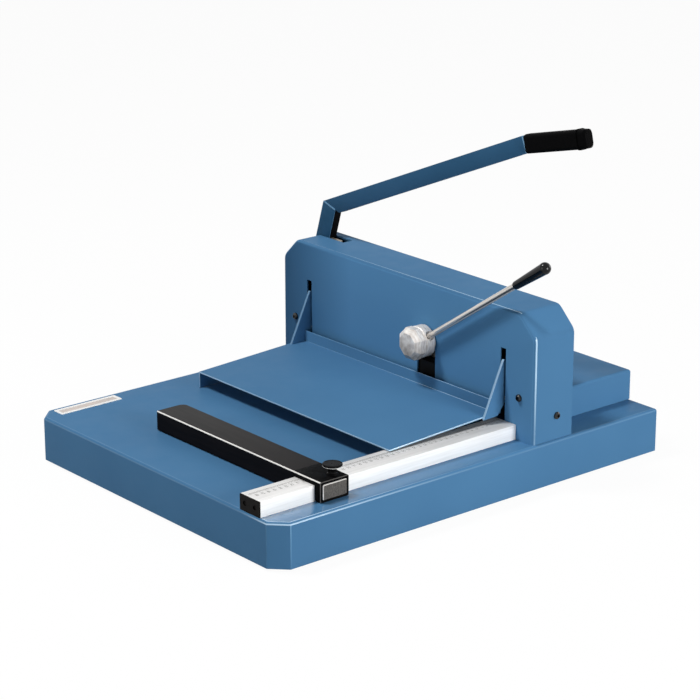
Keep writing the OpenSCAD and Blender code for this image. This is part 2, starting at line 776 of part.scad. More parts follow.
module ruler_end_cap() color(black) difference() {
    union() {
        along_y(ruler_y0, ruler_y0 + end_cap_t)
            rounded([
                [lay_x, table], [ruler_x1, table],
                [ruler_x1, table + ruler_h], [lay_x, table + ruler_h]
            ], 1.5);
        block([lay_x + ruler_wall + seat_fit, ruler_y0 + end_cap_t, table + ruler_wall + seat_fit],
              [ruler_x1 - ruler_wall - seat_fit, ruler_y0 + end_cap_t + end_cap_plug_l,
               table + ruler_h - ruler_wall - seat_fit]);
    }
    for (side = [-1, 1])
        translate([(lay_x + ruler_x1) / 2 + side * ruler_w / 4, ruler_y0 + 1.5, table + ruler_h / 2])
            rotate([90, 0, 0]) cylinder(d = ruler_h / 3, h = 4);
}

module guard_hinge_blocks() color(dark_steel) both_sides() difference() {
    block([hinge_block_x, panel_y, guard_pivot[1] - hinge_block_half],
          [cheek_x0, panel_y + hinge_block_d, max(guard_pivot[1], front_screw_z) + hinge_block_half]);
    bar_y(front_screw_x, front_screw_z, panel_y - 1, panel_y + screw_hole_l, housing_screw_r + seat_fit);
    bar_x(guard_pivot[0], guard_pivot[1], hinge_block_x - 1, hinge_block_x + guard_pin_l + 1,
          guard_pin_r + seat_fit);
}

module guard_pins() color(silver) both_sides() {
    bar_x(guard_pivot[0], guard_pivot[1], arm_x - arm_t / 2 - 1, hinge_block_x + guard_pin_l, guard_pin_r);
    bar_x(guard_pivot[0], guard_pivot[1], arm_x - arm_t / 2 - 3, arm_x - arm_t / 2 - slide_fit,
          guard_pin_r + 2);
    bar_x(guard_pivot[0], guard_pivot[1], arm_x + arm_t / 2 + slide_fit, hinge_block_x, guard_pin_r + 2);
}

module rear_cover() color(blue) difference() {
    inner_x = rear_cover_w / 2 - sheet;
    soft_box([
        [-rear_cover_w / 2, cover_y0], [rear_cover_w / 2, cover_y0],
        [rear_cover_w / 2, cover_y1], [-rear_cover_w / 2, cover_y1]
    ], table + table_gap, table + rear_cover_h, base_edge_r, upright_r);
    block([-inner_x, cover_y0 - 1, table - 1], [inner_x, cover_y1 - sheet, table + rear_cover_h - sheet]);
}

// Hinges of the rear cover: a leaf and a middle knuckle on the housing, two knuckles on the cover
module knuckle(x0, x1) difference() {
    bar_x(hinge_y, hinge_z, x0, x1, knuckle_r);
    bar_x(hinge_y, hinge_z, x0 - 1, x1 + 1, hinge_pin_r + run_fit);
}

module rear_hinge_leaves() color(blue) both_sides() {
    block([rear_hinge_x - hinge_half, rear_y, hinge_z + knuckle_r + 1],
          [rear_hinge_x + hinge_half, rear_y + hinge_leaf, hinge_z + housing_leaf_h]);
    block([rear_hinge_x - knuckle_half, rear_y, hinge_z],
          [rear_hinge_x + knuckle_half, rear_y + hinge_leaf, hinge_z + knuckle_r + 2]);
    block([rear_hinge_x - knuckle_half, rear_y, hinge_z + hinge_pin_r + 0.2],
          [rear_hinge_x + knuckle_half, hinge_y, hinge_z + knuckle_r - 0.4]);
    knuckle(rear_hinge_x - knuckle_half, rear_hinge_x + knuckle_half);
}

module rear_hinge_pins() color(steel) both_sides()
    bar_x(hinge_y, hinge_z, rear_hinge_x - hinge_half, rear_hinge_x + hinge_half, hinge_pin_r);

module rear_cover_hinges() color(blue) both_sides() {
    block([rear_hinge_x - hinge_half, hinge_y + knuckle_r + 1, table + rear_cover_h],
          [rear_hinge_x + hinge_half, hinge_y + cover_leaf_d, table + rear_cover_h + hinge_leaf]);
    for (side = [-1, 1]) {
        x0 = rear_hinge_x + side * (hinge_half + knuckle_half + slide_fit) / 2;
        half = (hinge_half - knuckle_half - slide_fit) / 2;
        block([x0 - half, hinge_y, table + rear_cover_h + 0.3],
              [x0 + half, hinge_y + knuckle_r + 2, table + rear_cover_h + hinge_leaf]);
        knuckle(x0 - half, x0 + half);
    }
}

// Cutting lever
module lever_crank() color(steel) difference() {
    pivot = [lever_x, lever_z];
    across = [-sin(lever_swing / 2), cos(lever_swing / 2)];
    post_foot = post_root + post_w * post_right;
    crest_run = (lever_z + crest_rise - post_foot[1]) / cos(post_lean);
    lug_r = crank_hub_r - 2;
    eye_r = crank_pin_r + 7;
    union() {
        bar_y(lever_x, lever_z, lever_y0, lever_y1, crank_hub_r);
        bar_y(crank_pin[0], crank_pin[1], lever_y0, lever_y1, eye_r);
        along_y(lever_y0, lever_y1) polygon([
            pivot + lug_r * across, pivot - lug_r * across,
            crank_pin - (eye_r - 2) * across, crank_pin + (eye_r - 2) * across
        ]);
        along_y(lever_y0, lever_y1) polygon([
            post_root, post_root + post_w * post_right,
            pivot + lug_r * [cos(35), sin(35)], pivot - [0, 5], pivot + lug_r * [cos(165), sin(165)]
        ]);
        along_y(lever_y0, lever_y1) polygon([
            pivot, crank_pin + (eye_r - 3) * across, pivot + [crest_reach, crest_rise - 3],
            pivot + [crest_reach - 6, crest_rise], post_foot + crest_run * post_dir + [gap / 2, 0],
            post_foot + [gap / 2, -3]
        ]);
    }
    bar_y(lever_x, lever_z, lever_y0 - 1, lever_y1 + 1, lever_shaft_d / 2 + bush_t + seat_fit);
    bar_y(crank_pin[0], crank_pin[1], lever_y0 - 1, lever_y1 + 1, crank_pin_r + seat_fit);
}

module lever_bush() color(bronze) difference() {
    bar_y(lever_x, lever_z, lever_y0 - 0.5, lever_y1 + 0.5, lever_shaft_d / 2 + bush_t);
    bar_y(lever_x, lever_z, lever_y0 - 1, lever_y1 + 1, lever_shaft_d / 2 + run_fit);
}

module crank_pin_piece() color(steel) bar_y(crank_pin[0], crank_pin[1], blade_y1 + 1, lever_y1, crank_pin_r);

module lever_post() color(blue) along_y(lever_y0, lever_y1)
    polygon([post_root, post_root + post_w * post_right, elbow + post_w * post_right, elbow]);

module lever_bar() color(blue) {
    cut_end = elbow + bar_w / sin(bar_rise + post_lean) * post_right;
    along_y(lever_y0, lever_y1)
        polygon([elbow, cut_end, bar_end + bar_w / 2 * bar_down, bar_end - bar_w / 2 * bar_down]);
    along_grip(0) block([-4, -tang_t / 2, -tang_w / 2], [tang_length, tang_t / 2, tang_w / 2]);
}

// Places a piece on the grip's own axis, starting at the end of the long bar
module along_grip(distance) {
    translate([bar_end[0], lever_mid_y, bar_end[1]]) rotate([0, -grip_rise, 0])
        translate([distance, 0, 0]) children();
}

module grip_outline(w, t, r) rounded([[-t / 2, -w / 2], [t / 2, -w / 2], [t / 2, w / 2], [-t / 2, w / 2]], r);

grip_start = 3;
cap_l = 12;
collar_l = 2.5;

module lever_grip() color(black) difference() {
    along_grip(grip_start) rotate([90, 0, 90]) {
        linear_extrude(grip_length - grip_start - cap_l) grip_outline(grip_w, grip_t, 6);
        translate([0, 0, grip_length - grip_start - cap_l - 2 * collar_l])
            linear_extrude(collar_l) grip_outline(grip_w + 2, grip_t + 2, 7);
    }
    along_grip(0) block([-1, -tang_t / 2 - slide_fit, -tang_w / 2 - slide_fit],
                        [tang_length + 1, tang_t / 2 + slide_fit, tang_w / 2 + slide_fit]);
}

module grip_cap() color(black) along_grip(grip_length - cap_l) rotate([90, 0, 90]) hull() {
    linear_extrude(1) grip_outline(grip_w, grip_t, 6, $fn = hull_fn);
    translate([0, 0, cap_l - 4]) linear_extrude(1) grip_outline(grip_w - 1, grip_t - 1, 6, $fn = hull_fn);
    translate([0, 0, cap_l - 1]) linear_extrude(1) grip_outline(grip_w - 6, grip_t - 6, 5, $fn = hull_fn);
}

// Blade carriage
module path_slot(x, z, r) {
    end = [x, z] + path_length * [sin(shear_angle), cos(shear_angle)];
    along_y(blade_y1 - 1, carrier_y1 + 1) link([x, z], r, end, r);
}

function blade_screw_x(i) = blade_x0 + blade_screw_margin + i * blade_screw_pitch;

module blade_carrier() color(dark_steel) difference() {
    union() {
        block([blade_x0, blade_y1, carrier_z0], [blade_x1, carrier_y1, carrier_z1]);
        for (x = blade_spring_xs) {
            block([x - spring_lug_half, carrier_y1 - 1, blade_lug_z - 8],
                  [x + spring_lug_half, blade_spring_y + spring_lug_half, blade_lug_z]);
            translate([x, blade_spring_y, blade_lug_z - 1])
                cylinder(r = blade_stud_r(), h = spring_stud_h + 1);
        }
    }
    for (x = guide_xs)
        path_slot(x, guide_z, guide_pin_d / 2 + run_fit);
    along_y(blade_y1 - 1, carrier_y1 + 1)
        link(crank_pin - [1, 0], crank_pin_r + yoke_fit,
             crank_pin + [blade_shift + crank_r * (1 - cos(lever_swing / 2)) + 1, 0], crank_pin_r + yoke_fit);
    for (i = [0 : blade_screw_count - 1])
        bar_y(blade_screw_x(i), blade_screw_z, blade_y1 - 1, carrier_y1 + 1, blade_screw_r + seat_fit);
}

module blade() color(silver) difference() {
    along_x(blade_x0, blade_x1)
        polygon([
            [blade_y0, edge_z], [blade_y1, edge_z + bevel_h], [blade_y1, blade_top], [blade_y0, blade_top]
        ]);
    for (i = [0 : blade_screw_count - 1]) {
        bar_y(blade_screw_x(i), blade_screw_z, blade_y0 - 1, blade_y1 + 1, blade_screw_r + seat_fit);
        bar_y(blade_screw_x(i), blade_screw_z, blade_y0 - 1, blade_y0 + blade_t / 2,
              2 * blade_screw_r + seat_fit);
    }
}

module blade_screws() color(steel) for (i = [0 : blade_screw_count - 1]) {
    bar_y(blade_screw_x(i), blade_screw_z, blade_y0 + blade_t / 2, carrier_y1, blade_screw_r);
    bar_y(blade_screw_x(i), blade_screw_z, blade_y0, blade_y0 + blade_t / 2, 2 * blade_screw_r);
}

module blade_springs() color(steel) for (x = blade_spring_xs)
    translate([x, blade_spring_y, 0])
        coil(blade_spring_r, blade_spring_wire, 8, blade_lug_z + slide_fit, beam_lug_z - slide_fit);

// Press beam with its rack
module rack_teeth() {
    half_tooth = tooth_pitch / 4 - tooth_backlash / 4;
    flank = tan(pressure_angle);
    for (k = [-2 : ceil(press_travel / tooth_pitch)])
        translate([rack_x, clamp_z + (k + 0.5) * tooth_pitch])
            polygon([
                [-tooth_depth, -half_tooth - tooth_depth * flank],
                [rack_addendum, -half_tooth + rack_addendum * flank],
                [rack_addendum, half_tooth - rack_addendum * flank],
                [-tooth_depth, half_tooth + tooth_depth * flank]
            ]);
}

module press_beam() color(dark_steel) difference() {
    union() {
        block([-press_half, press_y0, press_z0], [press_half, press_y1, press_z1]);
        along_y(gear_y0, gear_y1) {
            rack_back = rack_x - tooth_depth + 0.01;
            polygon([[rack_back - rack_w, press_z1 - 1], [rack_back, press_z1 - 1],
                     [rack_back, rack_top], [rack_back - rack_w, rack_top]]);
            rack_teeth();
        }
        both_sides() translate([spring_x, press_mid_y, press_z1 - 1])
            cylinder(r = spring_stud_r, h = spring_stud_h + 1);
    }
    both_sides() translate([guide_rod_x, press_mid_y, press_z0 - 1])
        cylinder(d = guide_rod_d + 2 * run_fit, h = press_h + 2);
}

module press_springs() color(steel) both_sides() translate([spring_x, press_mid_y, 0])
    coil(press_spring_r, spring_wire, 7, press_z1 + slide_fit, upper_bar_z0 - slide_fit);

// Clamp lever with its pinion
function involute(angle) = tan(angle) * 180 / PI - angle;

module pinion_outline() {
    base_r = pitch_r * cos(pressure_angle);
    tip_r = pitch_r + gear_module;
    root_r = pitch_r - tooth_depth;
    half_pitch_angle = (tooth_pitch / 2 - tooth_backlash / 2) / 2 / pitch_r * 180 / PI;
    base_half = half_pitch_angle + involute(pressure_angle);
    steps = 5;
    flank = [
        for (i = [0 : steps])
            let (q = base_r + (tip_r - base_r) * i / steps)
            [q, base_half - involute(acos(base_r / q))]
    ];
    circle(root_r);
    for (k = [0 : pinion_teeth - 1])
        rotate(180 + k * 360 / pinion_teeth)
            polygon(concat(
                [[0, 0], (root_r - 0.2) * [cos(base_half), -sin(base_half)]],
                [for (f = flank) f[0] * [cos(f[1]), -sin(f[1])]],
                [for (i = [steps : -1 : 0]) flank[i][0] * [cos(flank[i][1]), sin(flank[i][1])]],
                [(root_r - 0.2) * [cos(base_half), sin(base_half)]]
            ));
}

module clamp_pinion() color(steel) difference() {
    along_y(gear_y0 - 0.5, gear_y1) translate([clamp_x, clamp_z]) pinion_outline();
    bar_y(clamp_x, clamp_z, gear_y0 - 2, gear_y1 + 1, shaft_end_r + seat_fit);
}

module clamp_shaft() color(steel) {
    bar_y(clamp_x, clamp_z, nut_y0 + 4, gear_y0 - 0.6, clamp_shaft_r);
    bar_y(clamp_x, clamp_z, gear_y0 - 1, upper_bar_y1 - 0.5, shaft_end_r);
}

module hub_nut() color(silver) difference() {
    corner = cos(180 / 8);
    straight = hub_nut_l - 1 - hub_facet_l;
    translate([clamp_x, hub_y0 - 1, clamp_z]) rotate([90, 22.5, 0]) {
        cylinder(r = hub_r * 0.97 / corner, h = straight, $fn = 8);
        translate([0, 0, straight])
            cylinder(r1 = hub_r * 0.97 / corner, r2 = hub_face_w / 2 / corner, h = hub_facet_l, $fn = 8);
    }
    bar_y(clamp_x, clamp_z, nut_y0 + 4, hub_y0 + 1, clamp_shaft_r + seat_fit);
}

module hub_ring() color(silver) difference() {
    translate([clamp_x, hub_y1, clamp_z]) rotate([90, 0, 0]) rotate_extrude()
        polygon([[0, 0], [hub_r - 2, 0], [hub_r, 2], [hub_r, hub_ring_l - 2], [hub_r - 2, hub_ring_l],
                 [hub_r - 5, hub_ring_l], [hub_r - 5, hub_ring_l + 1], [0, hub_ring_l + 1]]);
    bar_y(clamp_x, clamp_z, hub_y0 - 3, hub_y1 + 1, clamp_shaft_r + seat_fit);
    along_rod(rod_seat()) cylinder(d = rod_d + 2 * seat_fit, h = hub_r);
    along_rod(hub_r - 4) cylinder(d = rod_d + 5, h = hub_r);
}

rod_tip_l = 20;
function rod_seat() = clamp_shaft_r + 3;

// Places a piece on the clamp rod's own axis
module along_rod(distance) {
    translate([clamp_x, rod_y, clamp_z]) rotate([0, 90 - rod_rise, 0])
        translate([0, 0, distance]) children();
}

module clamp_rod() color(silver) along_rod(rod_seat())
    cylinder(d = rod_d, h = rod_reach + rod_tip_l - rod_seat());

module clamp_knob() color(black) along_rod(rod_reach) difference() {
    ball = knob_d / 2;
    neck = rod_d / 2 + 1.2;
    rotate_extrude() {
        polygon([
            [0, 0], [neck, 0], [neck + 0.4, 2],
            [ball * 0.97, knob_l - ball * 1.25], [0, knob_l - ball * 1.25]
        ]);
        intersection() {
            translate([0, knob_l - ball]) circle(ball);
            block2(0, knob_l - 2.3 * ball, ball, knob_l);
        }
    }
    translate([0, 0, -1]) cylinder(d = rod_d + 2 * seat_fit, h = rod_tip_l + 1 + slide_fit);
}

module block2(x0, y0, x1, y1) translate([x0, y0]) square([x1 - x0, y1 - y0]);

// Gauge
gauge_r = 2;
gauge_corner_r = 12;

module gauge_section(d) rounded([
    [gauge_y0 + d, gauge_z0 + d], [gauge_y1 - d, gauge_z0 + d],
    [gauge_y1 - d, gauge_z1 - d], [gauge_y0 + d, gauge_z1 - d]
], max(gauge_r - d, 0.5));

gauge_cap_l = 14;

module gauge_bar() color(black) difference() {
    along_x(bar_x0 + gauge_cap_l, block_x0) gauge_section(0);
    along_x(bar_x0, block_x0 + 1) gauge_section(gauge_wall);
}

module gauge_bar_cap() color(black) {
    intersection() {
        along_x(bar_x0, bar_x0 + gauge_cap_l) gauge_section(0);
        translate([0, 0, gauge_z0 - 1]) linear_extrude(gauge_h + 2) union() {
            block2(bar_x0, gauge_y0, bar_x0 + gauge_cap_l, gauge_y1 - gauge_corner_r);
            block2(bar_x0 + gauge_corner_r, gauge_y0, bar_x0 + gauge_cap_l, gauge_y1);
            translate([bar_x0 + gauge_corner_r, gauge_y1 - gauge_corner_r]) circle(gauge_corner_r);
        }
    }
    along_x(bar_x0 + gauge_cap_l, bar_x0 + 2 * gauge_cap_l) gauge_section(gauge_wall + slide_fit);
}

module gauge_block() color(black) difference() {
    along_x(block_x0, block_x1) gauge_section(0);
    block([lay_x - slide_fit, gauge_y0 - 1, gauge_z0 - 1],
          [ruler_x1 + slide_fit, gauge_y1 + 1, table + ruler_h + slide_fit]);
    translate([thumb_x, thumb_y, gauge_z0]) cylinder(r = stud_r + run_fit, h = gauge_h + 1);
    block([block_x1 - 1, gauge_y0 + 3, gauge_z0 + 3], [block_x1 + 1, gauge_y1 - 3, gauge_z1 - 3]);
}

module gauge_end_plate() color([0.5, 0.49, 0.47])
    block([block_x1 - 1, gauge_y0 + 3 + slide_fit, gauge_z0 + 3 + slide_fit],
          [block_x1 + 0.6, gauge_y1 - 3 - slide_fit, gauge_z1 - 3 - slide_fit]);

thumb_neck_h = 11;
thumb_disc_h = 6;

module thumb_knob() color(black) translate([thumb_x, thumb_y, gauge_z1 + slide_fit]) difference() {
    rotate_extrude() polygon([
        [0, 0], [8, 0], [6, 2], [6, thumb_neck_h - 2], [thumb_d / 2 - 2, thumb_neck_h],
        [thumb_d / 2, thumb_neck_h + 1], [thumb_d / 2, thumb_neck_h + thumb_disc_h - 1],
        [thumb_d / 2 - 1, thumb_neck_h + thumb_disc_h], [0, thumb_neck_h + thumb_disc_h]
    ]);
    translate([0, 0, -1]) cylinder(r = stud_r + seat_fit, h = thumb_neck_h + 1);
}

module thumb_stud() color(steel) translate([thumb_x, thumb_y, table + ruler_h + slide_fit])
    cylinder(r = stud_r, h = gauge_z1 + slide_fit + thumb_neck_h - table - ruler_h - slide_fit);

// Guard
function guard_top(y) = table + guard_front_h + (y - guard_front_y) * tan(guard_slope);

module guard_plate() color(blue) {
    bend = [guard_bend_y, table + guard_rear_h];
    flange_y = guard_bend_y - arm_foot_l - 5;
    along_x(guard_x0, guard_x1) polygon([
        [guard_front_y, guard_top(guard_front_y)],
        [guard_front_y, guard_top(guard_front_y) - guard_sheet],
        [guard_bend_y + guard_sheet, bend[1] - guard_sheet],
        [guard_bend_y + guard_sheet, bend[1]],
        bend
    ]);
    block([-guard_x1, guard_bend_y, bend[1] - guard_sheet / 2],
          [guard_x1, guard_bend_y + guard_sheet, bend[1] + upstand_h]);
    along_x(guard_x0, guard_x0 + guard_sheet) polygon([
        [guard_front_y, table + table_gap], [flange_y, table + table_gap],
        [flange_y, guard_top(flange_y) - guard_sheet / 2],
        [guard_front_y, guard_top(guard_front_y) - guard_sheet / 2]
    ]);
}

module guard_arm_shape(drop) difference() {
    tip = [front_y + 1, table + arm_tip_h];
    foot = guard_bend_y - arm_foot_l;
    union() {
        polygon([[foot, guard_top(foot) - drop], [guard_bend_y, guard_top(guard_bend_y) - drop],
                 guard_pivot, tip + [2.5, 0], tip - [2.5, 0]]);
        translate(tip) circle(2.5);
        translate(guard_pivot) circle(guard_lug_r);
    }
    translate(guard_pivot) circle(guard_pin_r + run_fit);
}

module guard_arm_right() color(blue) along_x(arm_x - arm_t / 2, arm_x + arm_t / 2)
    guard_arm_shape(2 * guard_sheet);
module guard_arm_left() color(blue) mirror([1, 0, 0])
    along_x(arm_x - arm_t / 2, arm_x + arm_t / 2) guard_arm_shape(0);

base_housing();
base_floor();
base_rails();
rubber_feet();
stick_tray();
cutting_stick();
left_cheek();
right_cheek();
frame_bolts();
main_beam();
upper_bar();
guide_pins();
press_guide_rods();
clamp_bearing();
lever_bracket();
lever_shaft();
housing_cover();
rear_panel();
housing_screws();
ruler_bar();
ruler_end_cap();
guard_hinge_blocks();
guard_pins();
rear_hinge_leaves();
rear_hinge_pins();
rear_cover();
rear_cover_hinges();
lever_crank();
lever_bush();
crank_pin_piece();  // crank_pin
lever_post();
lever_bar();
lever_grip();
grip_cap();
blade_carrier();
blade();
blade_screws();
blade_springs();
press_beam();
press_springs();
clamp_pinion();
clamp_shaft();
hub_nut();
hub_ring();
clamp_rod();
clamp_knob();
gauge_bar();
gauge_bar_cap();
gauge_block();
gauge_end_plate();
thumb_knob();
thumb_stud();
guard_plate();
guard_arm_left();
guard_arm_right();
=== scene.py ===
# %% [markdown]
# # A lever stack paper cutter, dressed for its portrait
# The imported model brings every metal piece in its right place. This lesson adds what a solid modeller leaves out:
# soft and worn edges, enamel, brushed and plated metal, a scale on the ruler, and the light of a photo studio.

# %% Load the frame
import json
import math

import bpy
import numpy as np
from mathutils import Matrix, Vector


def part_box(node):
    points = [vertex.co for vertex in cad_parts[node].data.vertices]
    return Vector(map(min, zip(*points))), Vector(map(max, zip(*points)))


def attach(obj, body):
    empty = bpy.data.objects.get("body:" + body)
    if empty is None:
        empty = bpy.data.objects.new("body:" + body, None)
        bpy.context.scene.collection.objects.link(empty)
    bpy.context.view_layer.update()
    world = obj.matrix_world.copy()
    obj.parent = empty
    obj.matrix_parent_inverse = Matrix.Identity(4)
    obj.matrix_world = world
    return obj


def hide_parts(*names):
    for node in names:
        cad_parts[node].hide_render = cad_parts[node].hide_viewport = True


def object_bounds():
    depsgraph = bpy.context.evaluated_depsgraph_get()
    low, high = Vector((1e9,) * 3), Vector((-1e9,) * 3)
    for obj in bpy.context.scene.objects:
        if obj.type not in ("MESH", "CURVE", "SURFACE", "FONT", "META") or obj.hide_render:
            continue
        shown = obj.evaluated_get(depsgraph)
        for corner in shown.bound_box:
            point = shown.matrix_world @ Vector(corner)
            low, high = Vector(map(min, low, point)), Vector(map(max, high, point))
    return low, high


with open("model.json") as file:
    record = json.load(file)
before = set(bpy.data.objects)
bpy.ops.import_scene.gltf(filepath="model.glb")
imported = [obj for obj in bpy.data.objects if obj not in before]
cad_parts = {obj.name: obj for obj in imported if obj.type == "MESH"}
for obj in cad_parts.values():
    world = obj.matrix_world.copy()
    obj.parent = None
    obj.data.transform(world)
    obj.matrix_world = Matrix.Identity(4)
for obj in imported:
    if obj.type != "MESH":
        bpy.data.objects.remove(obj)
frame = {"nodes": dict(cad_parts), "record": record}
nodes = frame["nodes"]
cad_box = [list(corner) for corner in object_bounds()]
print("nodes:", len(nodes), "box:", cad_box)

# %% [markdown]
# ## The camera
# The photograph was taken with a long lens from the front right, a little above the table. The angles and the
# distance below were found by matching the corners of the base, so the lens follows from them: a long focal
# length keeps the parallel edges nearly parallel.

# %% Camera
LOOK_DOWN, LOOK_ROUND = math.radians(18.267), math.radians(50.045)
camera_data = bpy.data.cameras.new("studio_camera")
camera_data.lens = 125.93
camera_data.sensor_width = 36.0
camera_data.clip_end = 50.0
camera = bpy.data.objects.new("studio_camera", camera_data)
camera.location = (2.64376, -2.2092, 1.29998)
camera.rotation_euler = (math.pi / 2 - LOOK_DOWN, 0.0, LOOK_ROUND)
bpy.context.scene.collection.objects.link(camera)
bpy.context.scene.camera = camera
print("camera:", tuple(round(v, 3) for v in camera.location))

# %% [markdown]
# ## Tools for finishes
# Each finish is a small node tree on Object coordinates, so that its grain has a real size in metres and stays on
# the piece when the piece moves. Image maps could do the same, but they need unwrapping and blur close up. A plain
# surface comes first. Noise then moves its colour and its gloss a little, since nothing real is even, and a bump
# gives it a skin.


# %% Surface tools
def linear(r, g, b):
    """A colour as seen on screen, 0 to 255, turned into the linear values that shaders use."""
    c = np.array([r, g, b]) / 255.0
    return tuple(np.where(c <= 0.04045, c / 12.92, ((c + 0.055) / 1.055) ** 2.4).tolist())


def new_finish(name, colour, roughness, metallic=0.0, shine=0.5):
    """A finish with plain values on a Principled surface: gives its material, node tree and surface node."""
    finish = bpy.data.materials.new(name)
    finish.use_nodes = True
    tree = finish.node_tree
    surface = tree.nodes["Principled BSDF"]
    surface.inputs["Base Color"].default_value = (*colour, 1.0)
    surface.inputs["Roughness"].default_value = roughness
    surface.inputs["Metallic"].default_value = metallic
    surface.inputs["Specular IOR Level"].default_value = shine
    return finish, tree, surface


def set_colour(tree, surface, colour):
    """Links a colour output to a surface."""
    tree.links.new(colour, surface.inputs["Base Color"])


print("middle grey in shader values:", round(linear(128, 128, 128)[0], 3))


# %% Noise tools
def noise(tree, scale, detail, stretch=(1.0, 1.0, 1.0), rise=0.0):
    """Noise on Object coordinates; stretch below 1 draws it out along an axis, and rise tilts its X axis up from
    the X axis of the frame by an angle, before the stretch."""
    place = tree.nodes.new("ShaderNodeTexCoord")
    mapping = tree.nodes.new("ShaderNodeMapping")
    mapping.vector_type = "TEXTURE"
    mapping.inputs["Rotation"].default_value = (0.0, -rise, 0.0)
    mapping.inputs["Scale"].default_value = [1.0 / value for value in stretch]
    grain = tree.nodes.new("ShaderNodeTexNoise")
    grain.inputs["Scale"].default_value = scale
    grain.inputs["Detail"].default_value = detail
    tree.links.new(place.outputs["Object"], mapping.inputs["Vector"])
    tree.links.new(mapping.outputs["Vector"], grain.inputs["Vector"])
    return grain.outputs["Fac"]


def spread(tree, value, low, high, start=0.3, end=0.7):
    """Maps a value between start and end, the middle of a noise if not given, to the range low to high."""
    node = tree.nodes.new("ShaderNodeMapRange")
    node.inputs["From Min"].default_value = start
    node.inputs["From Max"].default_value = end
    node.inputs["To Min"].default_value = low
    node.inputs["To Max"].default_value = high
    tree.links.new(value, node.inputs["Value"])
    return node.outputs["Result"]


def set_gloss(tree, surface, grain, low, high):
    """Makes a surface's gloss uneven: its roughness follows a grain from low to high."""
    tree.links.new(spread(tree, grain, low, high), surface.inputs["Roughness"])


print("noise tools:", noise.__name__, spread.__name__, set_gloss.__name__)


# %% Tone and bump tools
def two_tone(tree, value, dark, light, low=0.3, high=0.7):
    """Goes from a dark to a light colour as a value rises from low to high."""
    ramp = tree.nodes.new("ShaderNodeValToRGB")
    for stop, position, colour in zip(ramp.color_ramp.elements, (low, high), (dark, light)):
        stop.position = position
        stop.color = (*colour, 1.0)
    tree.links.new(value, ramp.inputs["Fac"])
    return ramp.outputs["Color"]


def bump(tree, surface, height, strength, distance):
    """Bumps a surface by a height value."""
    node = tree.nodes.new("ShaderNodeBump")
    node.inputs["Strength"].default_value = strength
    node.inputs["Distance"].default_value = distance
    tree.links.new(height, node.inputs["Height"])
    tree.links.new(node.outputs["Normal"], surface.inputs["Normal"])


print("tone and bump tools:", two_tone.__name__, bump.__name__)

# %% [markdown]
# ## Zones on a piece
# Wear and dirt sit in places: along an edge, on the top, at one end. A zone is a value that rises from 0 to 1 over a
# short way along an axis. Two zones multiplied hold where both of them hold, and a colour is laid over another where
# its zone is 1. All of this could be painted on a map, but a zone worked out from position needs no unwrapping and
# has its size in metres.


# %% Zone tools
def along(tree, axis, start, end):
    """Rises from 0 to 1 between two places, in metres, along the Object axis X, Y or Z."""
    place = tree.nodes.new("ShaderNodeTexCoord")
    parts = tree.nodes.new("ShaderNodeSeparateXYZ")
    tree.links.new(place.outputs["Object"], parts.inputs["Vector"])
    return spread(tree, parts.outputs[axis], 0.0, 1.0, start, end)


def both(tree, a, b):
    """Two 0 to 1 values multiplied."""
    node = tree.nodes.new("ShaderNodeMath")
    node.operation = "MULTIPLY"
    tree.links.new(a, node.inputs[0])
    tree.links.new(b, node.inputs[1])
    return node.outputs[0]


def between(tree, zone, low, high):
    """Moves a zone's 0 to low and its 1 to high."""
    return spread(tree, zone, low, high, 0.0, 1.0)


def blend_colours(tree, zone, under, over):
    """Lays one colour output or plain colour over another where the zone is 1."""
    mix = tree.nodes.new("ShaderNodeMix")
    mix.data_type = "RGBA"
    tree.links.new(zone, mix.inputs["Factor"])
    for socket, colour in ((mix.inputs[6], under), (mix.inputs[7], over)):
        if isinstance(colour, tuple):
            socket.default_value = (*colour, 1.0)
        else:
            tree.links.new(colour, socket)
    return mix.outputs[2]


print("zone tools:", along.__name__, both.__name__, between.__name__, blend_colours.__name__)

# %% [markdown]
# ## Blue enamel
# The sheet steel is stoved in a satin grey-blue. The paint is nearly even: a slow cloud moves its tone by a few
# points and a fine bump gives the orange-peel skin. One flat colour would do from afar, but large sheets would then
# look like plastic.

# %% Plain enamel
BLUE_DARK, BLUE_LIGHT = linear(71, 116, 155), linear(75, 121, 160)
GLOSS_SWING = 0.05


def enamel_finish(name, dark=BLUE_DARK, light=BLUE_LIGHT, roughness=0.48, shine=0.04):
    """Painted sheet: a slow cloud between two tones, an uneven gloss and a fine orange-peel bump; gives the finish,
    its tree and surface, and the cloud's colour, over which zones can be laid."""
    finish, tree, surface = new_finish(name, light, roughness, shine=shine)
    cloud = two_tone(tree, noise(tree, 6.0, 2.0), dark, light)
    set_colour(tree, surface, cloud)
    set_gloss(tree, surface, noise(tree, 40.0, 4.0), roughness - GLOSS_SWING, roughness + GLOSS_SWING)
    bump(tree, surface, noise(tree, 700.0, 2.0), 0.05, 0.0004)
    return finish, tree, surface, cloud


enamel = enamel_finish("blue_enamel")[0]
print("enamel:", enamel.name)

# %% [markdown]
# ## The painted table
# Beside the ruler, where the gauge block slides, the table is polished, most of all at the front: there a clear coat
# mirrors the bright side of the ruler. A smoother paint alone wouldn't do, because the blue below has to stay satin,
# so the polish is a second, clear layer. The upright corners of the base are painted pale towards the top, a painted
# highlight as well as rubbed paint.

# %% Table enamel
base_low, base_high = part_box("base_housing")
ruler_low, ruler_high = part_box("ruler_bar")
housing_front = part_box("housing_cover")[0][1]
COAT_ROUGHNESS, CORNER_CUT, POLISHED_END = 0.1, 0.023, -0.34

